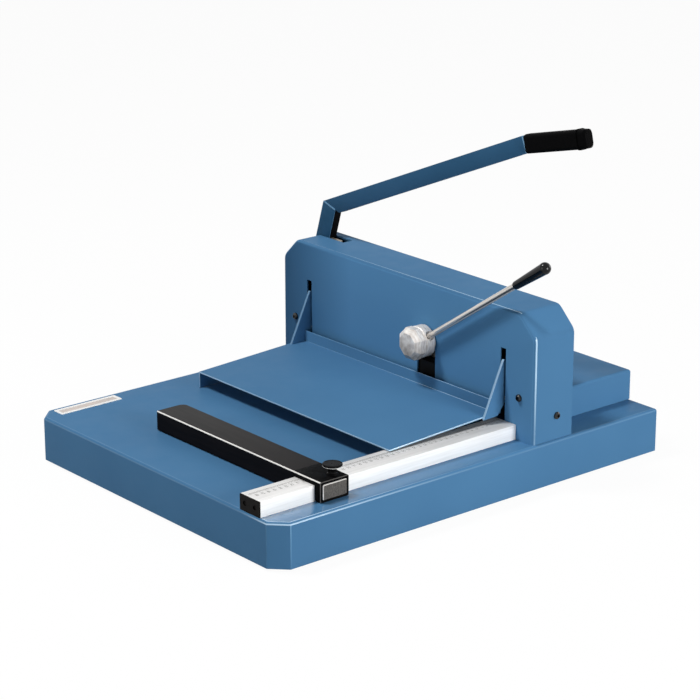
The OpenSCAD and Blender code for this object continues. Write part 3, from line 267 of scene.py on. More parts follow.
table_enamel, tree, surface, tone = enamel_finish("table_enamel")
table_top = along(tree, "Z", base_high[2] - 0.0008, base_high[2] - 0.0002)
strip = both(tree, along(tree, "X", ruler_high[0], ruler_high[0] + 0.001), table_top)
polish = between(tree, along(tree, "Y", housing_front - 0.02, POLISHED_END), 0.0, 0.9)
tree.links.new(both(tree, strip, polish), surface.inputs["Coat Weight"])
surface.inputs["Coat Roughness"].default_value = COAT_ROUGHNESS
surface.inputs["Coat IOR"].default_value = 1.75

corner_x, corner_y = base_high[0] - CORNER_CUT, base_low[1] + CORNER_CUT
side_corner = both(tree, along(tree, "X", base_high[0] - 0.0004, base_high[0] - 0.0002),
                   along(tree, "Y", corner_y + 0.0018, corner_y + 0.0012))
front_corner = both(tree, along(tree, "Y", base_low[1] + 0.0004, base_low[1] + 0.0002),
                    along(tree, "X", corner_x - 0.0018, corner_x - 0.0012))
highlight_towards_top = along(tree, "Z", -0.01, base_high[2])
# painted highlight, partly wear: the upright corners of the base grow paler towards the top
for corner, pale in ((side_corner, linear(112, 157, 194)), (front_corner, linear(88, 132, 168))):
    tone = blend_colours(tree, both(tree, corner, highlight_towards_top), tone, pale)
set_colour(tree, surface, tone)
print("table:", table_enamel.name, "corners at", round(corner_x, 3), round(corner_y, 3))

# %% [markdown]
# ## The painted cover
# The tall cover over the blade is painted like the table, but its front carries a painted fall of light: darker to
# the left, lighter to the right. This painted shade is laid over the front face alone, by a zone that ends just
# behind that face, so that the top and the ends keep their blue.

# %% Cover enamel
cover_enamel, tree, surface, tone = enamel_finish("cover_enamel")
# painted light and shade: the front goes from a dark tone at the left to a light one at the right
front_light_falloff = blend_colours(tree, along(tree, "X", -0.29, -0.12), linear(44, 82, 116), linear(85, 136, 179))
on_front = along(tree, "Y", housing_front + 0.0008, housing_front + 0.0003)
set_colour(tree, surface, blend_colours(tree, on_front, tone, front_light_falloff))
print("cover:", cover_enamel.name, "front at", round(housing_front, 3))

# %% [markdown]
# ## The painted lever
# The lever is darker than the sheets, its post most of all, and its paint is scuffed light where the bar goes into
# the grip. That ring lies across a sloping bar, so its zone is measured along the slope: the place multiplied by the
# bar's direction, axis by axis, and added up.


# %% Lever enamel
def along_bar(tree, foot, rise, start, end):
    """Rises from 0 to 1 between two lengths, in metres, from a foot point along a line in X and Z at an angle."""
    way = (math.cos(rise), 0.0, math.sin(rise))
    place = tree.nodes.new("ShaderNodeTexCoord")
    node = tree.nodes.new("ShaderNodeVectorMath")
    node.operation = "DOT_PRODUCT"
    node.inputs[1].default_value = way
    tree.links.new(place.outputs["Object"], node.inputs[0])
    foot_length = float(np.dot(foot, way))
    return spread(tree, node.outputs["Value"], 0.0, 1.0, foot_length + start, foot_length + end)


BAR_RISE = math.radians(22.6)
BAR_DARK, BAR_LIGHT = linear(46, 86, 118), linear(52, 93, 127)
post_low, post_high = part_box("lever_post")
elbow = np.array([-0.245, post_low[1], post_high[2]])
lever_enamel, tree, surface, tone = enamel_finish("lever_enamel", BAR_DARK, BAR_LIGHT, 0.5)
post_tone = two_tone(tree, noise(tree, 60.0, 3.0), linear(36, 74, 102), linear(44, 83, 113))
tone = blend_colours(tree, along(tree, "Z", 0.30, 0.325), post_tone, tone)
scuffed = along_bar(tree, elbow, BAR_RISE, 0.4806, 0.4814)
set_colour(tree, surface, blend_colours(tree, scuffed, tone, linear(120, 164, 198)))
# painted highlight, partly wear: the lever's edge finish is paler than its paint
lever_edge = enamel_finish("lever_edge", linear(88, 132, 166), linear(108, 152, 186), 0.4, 0.2)[0]
print("lever:", lever_enamel.name, lever_edge.name)

# %% [markdown]
# ## Rubbed and highlit paint
# Where sheets are folded, handling and paper rub the bend bright, and bends and edges catch the light, so paler coats
# are kept for the bends and edges: painted highlights as well as wear. They are brightest at the front of the table
# and the guard, painted darker as shade where the housing shelters them, and fade down the end of the cover as the
# painted highlight weakens. They are finishes of their own, because a modifier can then put them on the faces of a
# bend.

# %% Rubbed and highlit enamel
HIGHLIT_EDGE_DARK, HIGHLIT_EDGE_LIGHT = linear(140, 180, 212), linear(176, 208, 232)
guard_low, guard_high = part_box("guard_plate")
edge_enamel, tree, surface, tone = enamel_finish("worn_highlit_enamel_edge", HIGHLIT_EDGE_DARK, HIGHLIT_EDGE_LIGHT, 0.25, 0.5)
surface.inputs["Coat Roughness"].default_value = COAT_ROUGHNESS
# painted shade: the edge colour is darker, and its coat thinner, towards the back left where the housing stands over
# it
sheltered_shade = both(tree, along(tree, "Y", guard_low[1] + 0.04, guard_low[1] + 0.10), along(tree, "X", 0.14, -0.05))
set_colour(tree, surface, blend_colours(tree, sheltered_shade, tone, linear(92, 138, 174)))
tree.links.new(between(tree, sheltered_shade, 0.6, 0.1), surface.inputs["Coat Weight"])

cover_edge, tree, surface, tone = enamel_finish("worn_highlit_cover_edge", HIGHLIT_EDGE_DARK, HIGHLIT_EDGE_LIGHT, 0.3, 0.3)
# painted highlight: the cover's edges grow paler towards the top
highlight_upwards = between(tree, along(tree, "Z", 0.09, 0.17), 0.25, 1.0)
set_colour(tree, surface, blend_colours(tree, highlight_upwards, BLUE_LIGHT, HIGHLIT_EDGE_LIGHT))

base_edge, tree, surface, tone = enamel_finish("worn_highlit_base_edge", roughness=0.4, shine=0.2)
# painted highlight, partly wear: the base's edges grow paler towards the front right
highlight_to_front = both(tree, along(tree, "Y", 0.06, -0.30), along(tree, "X", 0.20, 0.262))
worn_highlit = between(tree, both(tree, highlight_to_front, highlight_to_front), 0.04, 0.9)
set_colour(tree, surface, blend_colours(tree, worn_highlit, linear(76, 122, 161), linear(186, 216, 240)))
print("rubbed paint:", edge_enamel.name, cover_edge.name, base_edge.name)

# %% [markdown]
# ## Steel and bronze
# Inside the housing the frame's steel is oiled and nearly black, and made darker still as painted shade, so that the
# slots read black. Shafts, pins and the blade are ground bright, the crank is left as it was rolled, and its bush is
# bronze. The rims of small plates are polished. The colours are plain; what tells these metals apart is how evenly
# they shine, so each has its own range of roughness.

# %% Steel and bronze
# painted shade, partly oil: the frame steel is almost black
dark_steel, tree, surface = new_finish("dark_steel", (0.006, 0.0062, 0.0068), 0.5, metallic=0.1, shine=0.08)
set_gloss(tree, surface, noise(tree, 120.0, 4.0), 0.42, 0.6)

bright_steel, tree, surface = new_finish("bright_steel", (0.55, 0.53, 0.50), 0.3, metallic=1.0)
set_gloss(tree, surface, noise(tree, 90.0, 5.0, (1.0, 1.0, 12.0)), 0.22, 0.42)

crank_steel, tree, surface = new_finish("rolled_steel", linear(150, 142, 128), 0.45, metallic=0.6)
set_colour(tree, surface, two_tone(tree, noise(tree, 160.0, 5.0), linear(112, 104, 92), linear(178, 170, 154)))
set_gloss(tree, surface, noise(tree, 90.0, 4.0), 0.36, 0.55)

bronze, tree, surface = new_finish("bearing_bronze", (0.55, 0.36, 0.16), 0.4, metallic=1.0)
set_gloss(tree, surface, noise(tree, 150.0, 3.0), 0.32, 0.5)

pale_metal, tree, surface = new_finish("polished_rim", linear(240, 240, 238), 0.22, metallic=0.4)
set_gloss(tree, surface, noise(tree, 200.0, 3.0), 0.16, 0.3)
print("metals:", dark_steel.name, bright_steel.name, crank_steel.name, bronze.name, pale_metal.name)

# %% [markdown]
# ## The hub and the rod
# The hub is turned from light alloy, with streaks round its axis. Its bright edges are a painted highlight as well as
# polish, and its lower half is painted darker as shade. The rod is plated over lines that drawing has left along it.
# Both grains are noise stretched in the direction of working, and for the rod the noise is also turned to its slope.
# A full mirror would show little but the pale studio, and would vanish against it, so both are only part metal.

# %% Hub and rod
ROD_RISE = math.radians(33.5)
hub_low, hub_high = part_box("hub_nut")
hub_alloy, tree, surface = new_finish("turned_alloy", linear(206, 197, 188), 0.36, metallic=0.12)
streaks = noise(tree, 420.0, 5.0, (0.25, 1.0, 0.25))
clean = two_tone(tree, streaks, linear(212, 203, 195), linear(255, 252, 248))
# painted shade: the hub's lower half is darker
shaded_lower = two_tone(tree, streaks, linear(112, 102, 93), linear(190, 180, 170))
above_lower_half = along(tree, "Z", hub_low[2] + 0.004, hub_high[2] - 0.012)
set_colour(tree, surface, blend_colours(tree, above_lower_half, shaded_lower, clean))
set_gloss(tree, surface, streaks, 0.28, 0.46)
bump(tree, surface, streaks, 0.12, 0.0003)

# painted highlight, partly polish: the hub's bevelled edges are near white
hub_edge, tree, surface = new_finish("polished_highlit_hub_edge", linear(255, 254, 252), 0.3, metallic=0.05)
set_gloss(tree, surface, noise(tree, 200.0, 3.0), 0.24, 0.38)

chrome, tree, surface = new_finish("plated_rod", linear(250, 246, 240), 0.14, metallic=0.55)
drawn = noise(tree, 320.0, 2.0, (0.01, 1.0, 1.0), ROD_RISE)
set_colour(tree, surface, two_tone(tree, drawn, linear(112, 104, 96), linear(220, 214, 207), 0.39, 0.48))
set_gloss(tree, surface, noise(tree, 60.0, 3.0), 0.10, 0.18)
print("hub and rod:", hub_alloy.name, hub_edge.name, chrome.name)

# %% [markdown]
# ## The ruler
# The ruler is drawn bar with a silky grain along its length. Its top is darker than its sides, most of all near the
# housing. One grain drives all three tones and the gloss, so that they belong to one bar.

# %% Ruler metal
TOP_DARKENS_FROM = -0.22
ruler_silver, tree, surface = new_finish("drawn_silver", linear(246, 246, 245), 0.45, metallic=0.08)
grain = noise(tree, 320.0, 4.0, (1.0, 0.04, 1.0))
drawn_side = two_tone(tree, grain, linear(238, 238, 236), linear(252, 252, 251))
# the top is darker than the sides, most of all towards the housing
ruler_top_front = two_tone(tree, grain, linear(220, 219, 217), linear(240, 239, 238))
ruler_top_back = two_tone(tree, grain, linear(196, 194, 191), linear(218, 216, 213))
ruler_top_tone = blend_colours(tree, along(tree, "Y", TOP_DARKENS_FROM, housing_front), ruler_top_front, ruler_top_back)
on_top = along(tree, "Z", ruler_high[2] - 0.0006, ruler_high[2] - 0.0002)
set_colour(tree, surface, blend_colours(tree, on_top, drawn_side, ruler_top_tone))
set_gloss(tree, surface, grain, 0.32, 0.46)
print("ruler:", ruler_silver.name, "top at", round(ruler_high[2], 3))

# %% [markdown]
# ## Black parts
# Knobs, grip, caps, screws and feet are all black, but not the same black: the knob of the clamp rod is polished, the
# grip is a matt moulding that shows almost nothing, the screws are oiled, and the feet are dull rubber. In black only
# the shine tells them apart, so each gets its own, beside its range of roughness. The cutting stick is red plastic.

# %% Plastics, rubber and screws
gloss_black, tree, surface = new_finish("gloss_black", (0.003, 0.003, 0.0035), 0.12, shine=0.22)
set_gloss(tree, surface, noise(tree, 50.0, 2.0), 0.08, 0.16)

grip_black, tree, surface = new_finish("grip_black", (0.0012, 0.0012, 0.0014), 0.6, shine=0.02)
set_gloss(tree, surface, noise(tree, 300.0, 3.0), 0.48, 0.62)
bump(tree, surface, noise(tree, 900.0, 2.0), 0.2, 0.0004)

cap_black, tree, surface = new_finish("moulded_black", linear(14, 13, 13), 0.5, shine=0.05)
set_colour(tree, surface, two_tone(tree, noise(tree, 150.0, 3.0), linear(9, 8, 8), linear(22, 19, 18)))
set_gloss(tree, surface, noise(tree, 300.0, 3.0), 0.42, 0.58)

knob_black, tree, surface = new_finish("knurled_black", (0.004, 0.004, 0.0045), 0.3, shine=0.05)
set_gloss(tree, surface, noise(tree, 160.0, 3.0), 0.22, 0.42)

screw_black, tree, surface = new_finish("black_oxide", (0.006, 0.006, 0.006), 0.2, metallic=0.3, shine=0.6)
set_gloss(tree, surface, noise(tree, 400.0, 3.0), 0.14, 0.26)

rubber, tree, surface = new_finish("foot_rubber", (0.01, 0.01, 0.01), 0.8, shine=0.1)
set_gloss(tree, surface, noise(tree, 200.0, 3.0), 0.7, 0.9)

stick_red, tree, surface = new_finish("stick_red", linear(170, 60, 48), 0.5)
set_gloss(tree, surface, noise(tree, 150.0, 3.0), 0.42, 0.6)
print("blacks:", gloss_black.name, grip_black.name, cap_black.name, knob_black.name, screw_black.name, rubber.name)

# %% [markdown]
# ## The gauge's black
# The gauge is a satin extrusion whose top is lighter grey, most at its free end: partly dust, partly painted sheen.
# Its top front edge carries a thin bright line, a painted highlight as well as bare metal rubbed by the paper. The
# block beside it is of the same height and has the same line, so one zone serves both. The edges of the block's end
# are painted grey and its end plate is painted light along the rim at the top and front, both painted highlights.

# %% Gauge bar
gauge_low, gauge_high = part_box("gauge_bar")


def paper_edge(tree):
    """The zone along the gauge's top front edge: its lowest Y and highest Z, each within 1.5 mm."""
    return both(tree, along(tree, "Y", gauge_low[1] + 0.0017, gauge_low[1] + 0.0013),
                along(tree, "Z", gauge_high[2] - 0.0017, gauge_high[2] - 0.0013))


gauge_black, tree, surface = new_finish("gauge_black", linear(26, 24, 27), 0.5, shine=0.03)
grain = noise(tree, 200.0, 4.0, (0.08, 1.0, 1.0))
# partly dust, partly painted sheen: the top is lighter than the faces, most at the left end
top_left = two_tone(tree, grain, linear(48, 48, 48), linear(62, 61, 61))
top_right = two_tone(tree, grain, linear(32, 31, 31), linear(44, 42, 42))
dust_and_sheen_top = blend_colours(tree, along(tree, "X", gauge_low[0], gauge_high[0]), top_left, top_right)
face_tone = two_tone(tree, grain, linear(12, 11, 13), linear(22, 20, 22))
on_top = along(tree, "Z", gauge_high[2] - 0.0006, gauge_high[2] - 0.0002)
tone = blend_colours(tree, on_top, face_tone, dust_and_sheen_top)
# painted highlight, partly wear: a bright line along the top front edge
set_colour(tree, surface, blend_colours(tree, paper_edge(tree), tone, linear(240, 238, 234)))
set_gloss(tree, surface, grain, 0.44, 0.56)
bump(tree, surface, noise(tree, 600.0, 2.0), 0.08, 0.0004)
print("gauge bar:", gauge_black.name, "edge at", round(gauge_low[1], 3), round(gauge_high[2], 4))

# %% Gauge block and end plate
block_low, block_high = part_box("gauge_block")
block_black, tree, surface = new_finish("block_black", linear(10, 10, 11), 0.55, shine=0.02)
tone = two_tone(tree, noise(tree, 120.0, 3.0), linear(6, 6, 7), linear(14, 14, 14))
# the same painted highlight, partly wear, along the block's top front edge
tone = blend_colours(tree, paper_edge(tree), tone, linear(236, 234, 230))
end_face = along(tree, "X", block_high[0] - 0.0008, block_high[0] - 0.0004)
# painted highlight: grey lines along the top and front edges of the block's end
for edge in (along(tree, "Z", block_high[2] - 0.0013, block_high[2] - 0.0009),
             along(tree, "Y", block_low[1] + 0.0013, block_low[1] + 0.0009)):
    tone = blend_colours(tree, both(tree, end_face, edge), tone, linear(86, 84, 82))
set_colour(tree, surface, tone)
set_gloss(tree, surface, noise(tree, 300.0, 3.0), 0.48, 0.62)

plate_grey, tree, surface = new_finish("plate_grey", linear(86, 83, 80), 0.45, metallic=0.2, shine=0.2)
tone = two_tone(tree, noise(tree, 380.0, 4.0), linear(66, 64, 61), linear(100, 96, 92))
# painted highlight: a light band along the plate's rim at the top and front
for edge in (along(tree, "Z", block_high[2] - 0.0060, block_high[2] - 0.0054),
             along(tree, "Y", block_low[1] + 0.0062, block_low[1] + 0.0054)):
    tone = blend_colours(tree, edge, tone, linear(214, 210, 206))
set_colour(tree, surface, tone)
set_gloss(tree, surface, noise(tree, 300.0, 4.0), 0.38, 0.55)
print("gauge block:", block_black.name, plate_grey.name)

# %% [markdown]
# ## Finishes on the frame
# The record names a material slot for each piece, and the table below gives each slot its finish. A few pieces
# differ from their slot's usual look, and take a finish of their own. Each piece has a second finish for its edges,
# and the lever's post has a third, black one: painted shade for its side towards the grip.

# %% Put the finishes on
FINISH_OF_SLOT = {
    "blue_paint": enamel, "frame_steel": dark_steel, "bright_steel": bright_steel, "hub_metal": hub_alloy,
    "rod_chrome": chrome, "ruler_metal": ruler_silver, "bush_bronze": bronze, "foot_rubber": rubber,
    "stick_plastic": stick_red, "gloss_black": gloss_black, "grip_black": grip_black, "screw_black": screw_black,
    "gauge_black": gauge_black, "gauge_cap_black": gauge_black, "end_plate_grey": plate_grey,
}
FINISH_OF_NODE = {
    "base_housing": table_enamel, "housing_cover": cover_enamel, "lever_post": lever_enamel,
    "lever_bar": lever_enamel, "ruler_end_cap": cap_black, "lever_crank": crank_steel, "gauge_block": block_black,
}
EDGE_OF_FINISH = {
    "blue_enamel": edge_enamel, "cover_enamel": cover_edge, "table_enamel": base_edge,
    "lever_enamel": lever_edge, "turned_alloy": hub_edge,
}
EDGE_SLOT, POST_SHADE_SLOT = 1, 2
for entry in frame["record"]["subparts"]:
    name = entry["node"]
    finish = FINISH_OF_NODE.get(name, FINISH_OF_SLOT[entry["material_slot"]])
    mesh = nodes[name].data
    mesh.materials.clear()
    mesh.materials.append(finish)
    mesh.materials.append(EDGE_OF_FINISH.get(finish.name, finish))
# painted shade: the post's third finish is black, for its side towards the grip
nodes["lever_post"].data.materials.append(block_black)
print("slots with a finish:", len(FINISH_OF_SLOT), "pieces with their own:", len(FINISH_OF_NODE))

# %% [markdown]
# ## Soft, rubbed and highlit edges
# A folded sheet or a milled bar never has a perfectly sharp edge, and the thin bright lines along the edges are
# what makes metal look real. The frame's meshes come as loose triangles, so each one is welded, given a small
# bevel on its sharp edges, and shaded smooth below a set angle. The bevel's faces, and the first and last strip
# of each large bend, take the rubbed edge finish, which is the second in each piece's list: its pale colour is a
# painted highlight as well as wear. The side of the lever's post towards the grip takes the third, black finish,
# painted shade. The facets of the hub stay flat, so that each catches the light by itself. All of it is made by
# modifiers, which leave the frame's own vertices alone.


# %% Node group tools
def node_group(name):
    """A geometry node group with one geometry in and out, and its two end nodes."""
    group = bpy.data.node_groups.new(name, "GeometryNodeTree")
    group.interface.new_socket("Geometry", in_out="INPUT", socket_type="NodeSocketGeometry")
    group.interface.new_socket("Geometry", in_out="OUTPUT", socket_type="NodeSocketGeometry")
    return group, group.nodes.new("NodeGroupInput"), group.nodes.new("NodeGroupOutput")


def compare(group, value, operation, limit):
    """True where a value is GREATER_THAN or LESS_THAN a limit."""
    node = group.nodes.new("FunctionNodeCompare")
    node.data_type = "FLOAT"
    node.operation = operation
    node.inputs[1].default_value = limit
    group.links.new(value, node.inputs[0])
    return node.outputs[0]


def logic(group, operation, a, b=None):
    """AND, OR or NOT of true-or-false values."""
    node = group.nodes.new("FunctionNodeBooleanMath")
    node.operation = operation
    group.links.new(a, node.inputs[0])
    if b is not None:
        group.links.new(b, node.inputs[1])
    return node.outputs[0]


print("node group tools:", node_group.__name__, compare.__name__, logic.__name__)


# %% Smoothing by angle
def smooth_group(name, degrees):
    """Keeps edges sharper than an angle in degrees and shades the rest smooth."""
    group, start, end = node_group(name)
    angle = group.nodes.new("GeometryNodeInputMeshEdgeAngle")
    sharp = compare(group, angle.outputs["Unsigned Angle"], "GREATER_THAN", math.radians(degrees))
    faces = group.nodes.new("GeometryNodeSetShadeSmooth")
    faces.domain = "FACE"
    edges = group.nodes.new("GeometryNodeSetShadeSmooth")
    edges.domain = "EDGE"
    group.links.new(start.outputs[0], faces.inputs[0])
    group.links.new(faces.outputs[0], edges.inputs[0])
    group.links.new(logic(group, "NOT", sharp), edges.inputs["Shade Smooth"])
    group.links.new(edges.outputs[0], end.inputs[0])
    return group


SMOOTH = smooth_group("smooth_below_angle", 32.0)
FACETS = smooth_group("flat_facets", 5.0)
print("smoothing:", SMOOTH.name, FACETS.name)


# %% Rubbed faces
def rubbed_group(name, rules, slot=EDGE_SLOT):
    """Gives the finish of a slot to faces that meet any rule; a rule is a list of (what, axis, low, high), where
    what is the face's normal or its position, and all its lines have to hold."""
    group, start, end = node_group(name)
    parts = {}
    for what, kind in (("normal", "GeometryNodeInputNormal"), ("position", "GeometryNodeInputPosition")):
        parts[what] = group.nodes.new("ShaderNodeSeparateXYZ")
        group.links.new(group.nodes.new(kind).outputs[0], parts[what].inputs[0])
    chosen = None
    for rule in rules:
        held = None
        for what, axis, low, high in rule:
            value = parts[what].outputs[axis]
            above = compare(group, value, "GREATER_THAN", low)
            line = logic(group, "AND", above, compare(group, value, "LESS_THAN", high))
            held = line if held is None else logic(group, "AND", held, line)
        chosen = held if chosen is None else logic(group, "OR", chosen, held)
    paint = group.nodes.new("GeometryNodeSetMaterialIndex")
    paint.inputs["Material Index"].default_value = slot
    group.links.new(start.outputs[0], paint.inputs[0])
    group.links.new(chosen, paint.inputs["Selection"])
    group.links.new(paint.outputs[0], end.inputs[0])
    return group


ARM_EDGES = rubbed_group("arm_sheet_edges", [[("normal", "X", -0.5, 0.5), ("normal", "Y", -1.1, -0.1)]])
# painted highlight on the bends and sheet edges, painted shade on the post's side
HIGHLIT_AND_SHADED_FACES = {
    "base_housing": rubbed_group("base_bends", [[("normal", "Z", 0.05, 0.45)], [("normal", "Z", 0.97, 0.998)]]),
    "housing_cover": rubbed_group("cover_bends", [
        [("normal", "Y", -0.45, -0.05), ("normal", "X", 0.85, 1.0)],
        [("normal", "Y", -0.30, -0.05), ("normal", "Z", 0.9, 1.0), ("position", "X", -0.06, 0.26)],
    ]),
    "guard_plate": rubbed_group("guard_sheet_edges", [
        [("normal", "Y", -1.1, -0.9), ("position", "Y", -1.0, guard_low[1] + 0.002)],
        [("normal", "X", 0.9, 1.1), ("position", "X", guard_high[0] - 0.002, 1.0)],
    ]),
    "guard_arm_left": ARM_EDGES, "guard_arm_right": ARM_EDGES,
    # painted shade: the post's faces turned towards the grip take the black third finish
    "lever_post": rubbed_group("post_painted_shade_side", [[("normal", "X", 0.9, 1.1)]], POST_SHADE_SLOT),
}
print("pieces with rubbed faces:", len(HIGHLIT_AND_SHADED_FACES))


# %% Weld, bevel and smooth
def soften(piece, width, worn_highlit, bands=None, faceted=False):
    """Welds a piece's triangles and rounds its sharp edges by width metres; the bevel's faces, if worn_highlit, and
    the
    faces the bands pick take another finish: a pale edge, painted highlight and wear, or on the post black painted
    shade. It smooths the rest; the facets of a faceted piece stay flat."""
    weld = piece.modifiers.new("weld", "WELD")
    weld.merge_threshold = 1e-6
    if width > 0:
        bevel = piece.modifiers.new("edge_round", "BEVEL")
        bevel.width = width
        bevel.segments = 2
        bevel.limit_method = "ANGLE"
        bevel.angle_limit = math.radians(25.0 if faceted else 40.0)
        bevel.use_clamp_overlap = True
        bevel.harden_normals = False
        bevel.material = EDGE_SLOT if worn_highlit else -1
    for group in (bands, FACETS if faceted else SMOOTH):
        if group:
            piece.modifiers.new(group.name, "NODES").node_group = group


MM = 0.001
EDGE_WIDTH = {
    "guard_plate": 0.5, "guard_arm_left": 0.9, "guard_arm_right": 0.9, "lever_post": 0.8, "lever_bar": 0.8,
    "ruler_bar": 0.5, "gauge_block": 0.5, "hub_nut": 1.4, "hub_ring": 0.8,
    "rear_panel": 0.5, "left_cheek": 0.6, "right_cheek": 0.6, "lever_crank": 0.8, "cutting_stick": 0.3,
}
WORN_HIGHLIT_PIECES = {"guard_plate", "guard_arm_left", "guard_arm_right", "lever_post", "hub_nut", "hub_ring"}
for name, node in nodes.items():
    soften(node, EDGE_WIDTH.get(name, 0.0) * MM, name in WORN_HIGHLIT_PIECES, HIGHLIT_AND_SHADED_FACES.get(name), faceted=name == "hub_nut")
print("softened:", len(nodes), "with a bevel:", len(EDGE_WIDTH))

# %% [markdown]
# ## Making a surface from rings
# Most pieces below are one function of two parameters, worked out on a whole grid at once, whose rows are closed
# rings. One helper joins neighbouring points into quads, closes each ring over its seam, and caps the open ends with
# a fan of triangles. Blender's own primitives would need many steps by hand for the same shapes.


# %% Ring tools
def ring_faces(points, caps=()):
    """Points and faces of an array of rows x columns x 3 whose rows are closed rings: quads between neighbours, and
    a fan round a middle point for each row, first or last, that caps names."""
    rows, columns = points.shape[:2]
    index = np.arange(rows * columns).reshape(rows, columns)
    ring = np.hstack([index, index[:, :1]])
    quads = np.stack([ring[:-1, :-1], ring[:-1, 1:], ring[1:, 1:], ring[1:, :-1]], axis=-1).reshape(-1, 4)
    vertices = points.reshape(-1, 3)
    faces = quads.tolist()
    for cap in caps:
        row, rim = (0, ring[0][::-1]) if cap == "first" else (-1, ring[-1])
        middle = np.full(rim.size - 1, len(vertices))
        faces += np.stack([middle, rim[:-1], rim[1:]], axis=-1).tolist()
        vertices = np.vstack([vertices, points[row].mean(axis=0)])
    return vertices, faces


def mesh_object(name, vertices, faces, finish):
    """An object at the origin from points and faces, in one finish."""
    mesh = bpy.data.meshes.new(name)
    mesh.from_pydata(vertices.tolist(), [], faces)
    mesh.validate()
    mesh.update()
    mesh.materials.append(finish)
    made = bpy.data.objects.new(name, mesh)
    bpy.context.scene.collection.objects.link(made)
    print(name, "faces:", len(faces))
    return made


def ring_piece(name, points, finish, body, caps=()):
    """A smooth piece from rows of closed rings, riding on a body."""
    piece = mesh_object(name, *ring_faces(points, caps), finish)
    piece.modifiers.new("smooth", "NODES").node_group = SMOOTH
    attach(piece, body)
    return piece


print("ring tools:", ring_faces.__name__, mesh_object.__name__, ring_piece.__name__)

# %% [markdown]
# ## The label plate
# A thin pressed plate is fixed near the front left corner of the table. It is left bare. A plate could be a
# bevelled cube, but its pressed rim has a rounded section, so it is drawn as a profile that runs round a rounded
# rectangle: each row of the grid is the same outline, moved inwards and up or down.


# %% Label plate
def rounded_rectangle(half_x, half_y, radius, steps=8):
    """Points round a rectangle with quarter-circle corners: corner centre plus radius times cosine and sine."""
    angle = np.linspace(0.0, np.pi / 2, steps)
    turn = np.repeat(np.arange(4), steps) * np.pi / 2 + np.tile(angle, 4)
    sign_x = np.repeat([1, -1, -1, 1], steps)
    sign_y = np.repeat([1, 1, -1, -1], steps)
    x = sign_x * (half_x - radius) + radius * np.cos(turn)
    y = sign_y * (half_y - radius) + radius * np.sin(turn)
    return np.column_stack([x, y])


def pressed_plate(middle, half_x, half_y, profile, corner=0.0022, least=0.0003):
    """Rows of one rounded rectangle, each moved inwards by profile[:, 0] and lifted to profile[:, 1]; the corner's
    radius shrinks by the same way inwards, down to the least."""
    rows = [rounded_rectangle(half_x - d, half_y - d, max(corner - d, least)) for d, _ in profile]
    flat = np.stack(rows) + np.array(middle[:2])
    height = np.broadcast_to(np.array(profile)[:, 1][:, None] + middle[2], flat.shape[:2])
    return np.dstack([flat, height])


plate_middle = (-0.2698, -0.2818, base_high[2])
PLATE_HALF = (0.0112, 0.0546)
rim = [(0.0, 0.00002), (0.0, 0.0007), (0.0003, 0.001), (0.0046, 0.001), (0.005, 0.0007)]
ring_piece("label_plate_rim", pressed_plate(plate_middle, *PLATE_HALF, rim), pale_metal, "frame")

plate_face, tree, surface = new_finish("plate_face", linear(190, 180, 172), 0.4, metallic=0.2)
slow = noise(tree, 30.0, 2.0, (1.0, 0.6, 1.0))
set_colour(tree, surface, two_tone(tree, slow, linear(186, 180, 175), linear(216, 200, 190)))
set_gloss(tree, surface, noise(tree, 260.0, 4.0, (1.0, 0.08, 1.0)), 0.32, 0.5)
face_rows = [(0.005, 0.0007), (0.0085, 0.0007)]
ring_piece("label_plate_face", pressed_plate(plate_middle, *PLATE_HALF, face_rows), plate_face, "frame", ["last"])

# %% [markdown]
# ## The scale on the ruler
# The distance to the blade is engraved along the ruler: a line for each millimetre, longer ones for 5 and 10, and
# a number for each centimetre. The lines are thin rectangles, made as one array of corners. The numbers are text
# that becomes a mesh before it is put in place.


# %% Scale lines
def strokes(x0, x1, y, width, height):
    """Four corners for each line: from x0 to x1, half a width either side of y, all at one height."""
    x = np.stack([x0, x1, x1, x0], axis=1)
    offset = np.array([-0.5, -0.5, 0.5, 0.5])
    return np.dstack([x, y[:, None] + offset * width, np.full(x.shape, height)]).reshape(-1, 3)


ink, tree, surface = new_finish("engraved_grey", linear(120, 116, 112), 0.5, shine=0.2)
set_colour(tree, surface, two_tone(tree, noise(tree, 200.0, 3.0), linear(104, 100, 97), linear(138, 134, 130)))

LINES_LEFT, NUMBERS_LEFT, LINE_WIDTH, LIFT = 9.5 * MM, 20.5 * MM, 0.32 * MM, 0.05 * MM
blade_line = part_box("blade")[0][1]
scale_z = ruler_high[2] + LIFT
first_mm = int(math.ceil((blade_line - ruler_high[1]) / MM)) + 3
last_mm = int((blade_line - ruler_low[1]) / MM) - 4
count = np.arange(first_mm, last_mm + 1)
reach = np.where(count % 10 == 0, 7.5, np.where(count % 5 == 0, 5.5, 3.5)) * MM
left = np.full(count.size, ruler_low[0] + LINES_LEFT)
corners = strokes(left, left + reach, blade_line - count * MM, LINE_WIDTH, scale_z)
line_faces = np.arange(len(corners)).reshape(-1, 4).tolist()
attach(mesh_object("ruler_lines", corners, line_faces, ink), "frame")


# %% Scale numbers
def number_mesh(text, size):
    """Points and triangles of a number in the built-in font, centred on the origin in the flat plane."""
    curve = bpy.data.curves.new("number", "FONT")
    curve.body = text
    curve.size = size
    curve.align_x = "CENTER"
    curve.align_y = "CENTER"
    curve.resolution_u = 3
    holder = bpy.data.objects.new("number", curve)
    mesh = bpy.data.meshes.new_from_object(holder)
    points = np.empty(len(mesh.vertices) * 3)
    mesh.vertices.foreach_get("co", points)
    mesh.calc_loop_triangles()
    triangles = np.empty(len(mesh.loop_triangles) * 3, dtype=np.int32)
    mesh.loop_triangles.foreach_get("vertices", triangles)
    bpy.data.objects.remove(holder)
    bpy.data.curves.remove(curve)
    bpy.data.meshes.remove(mesh)
    return points.reshape(-1, 3), triangles.reshape(-1, 3)


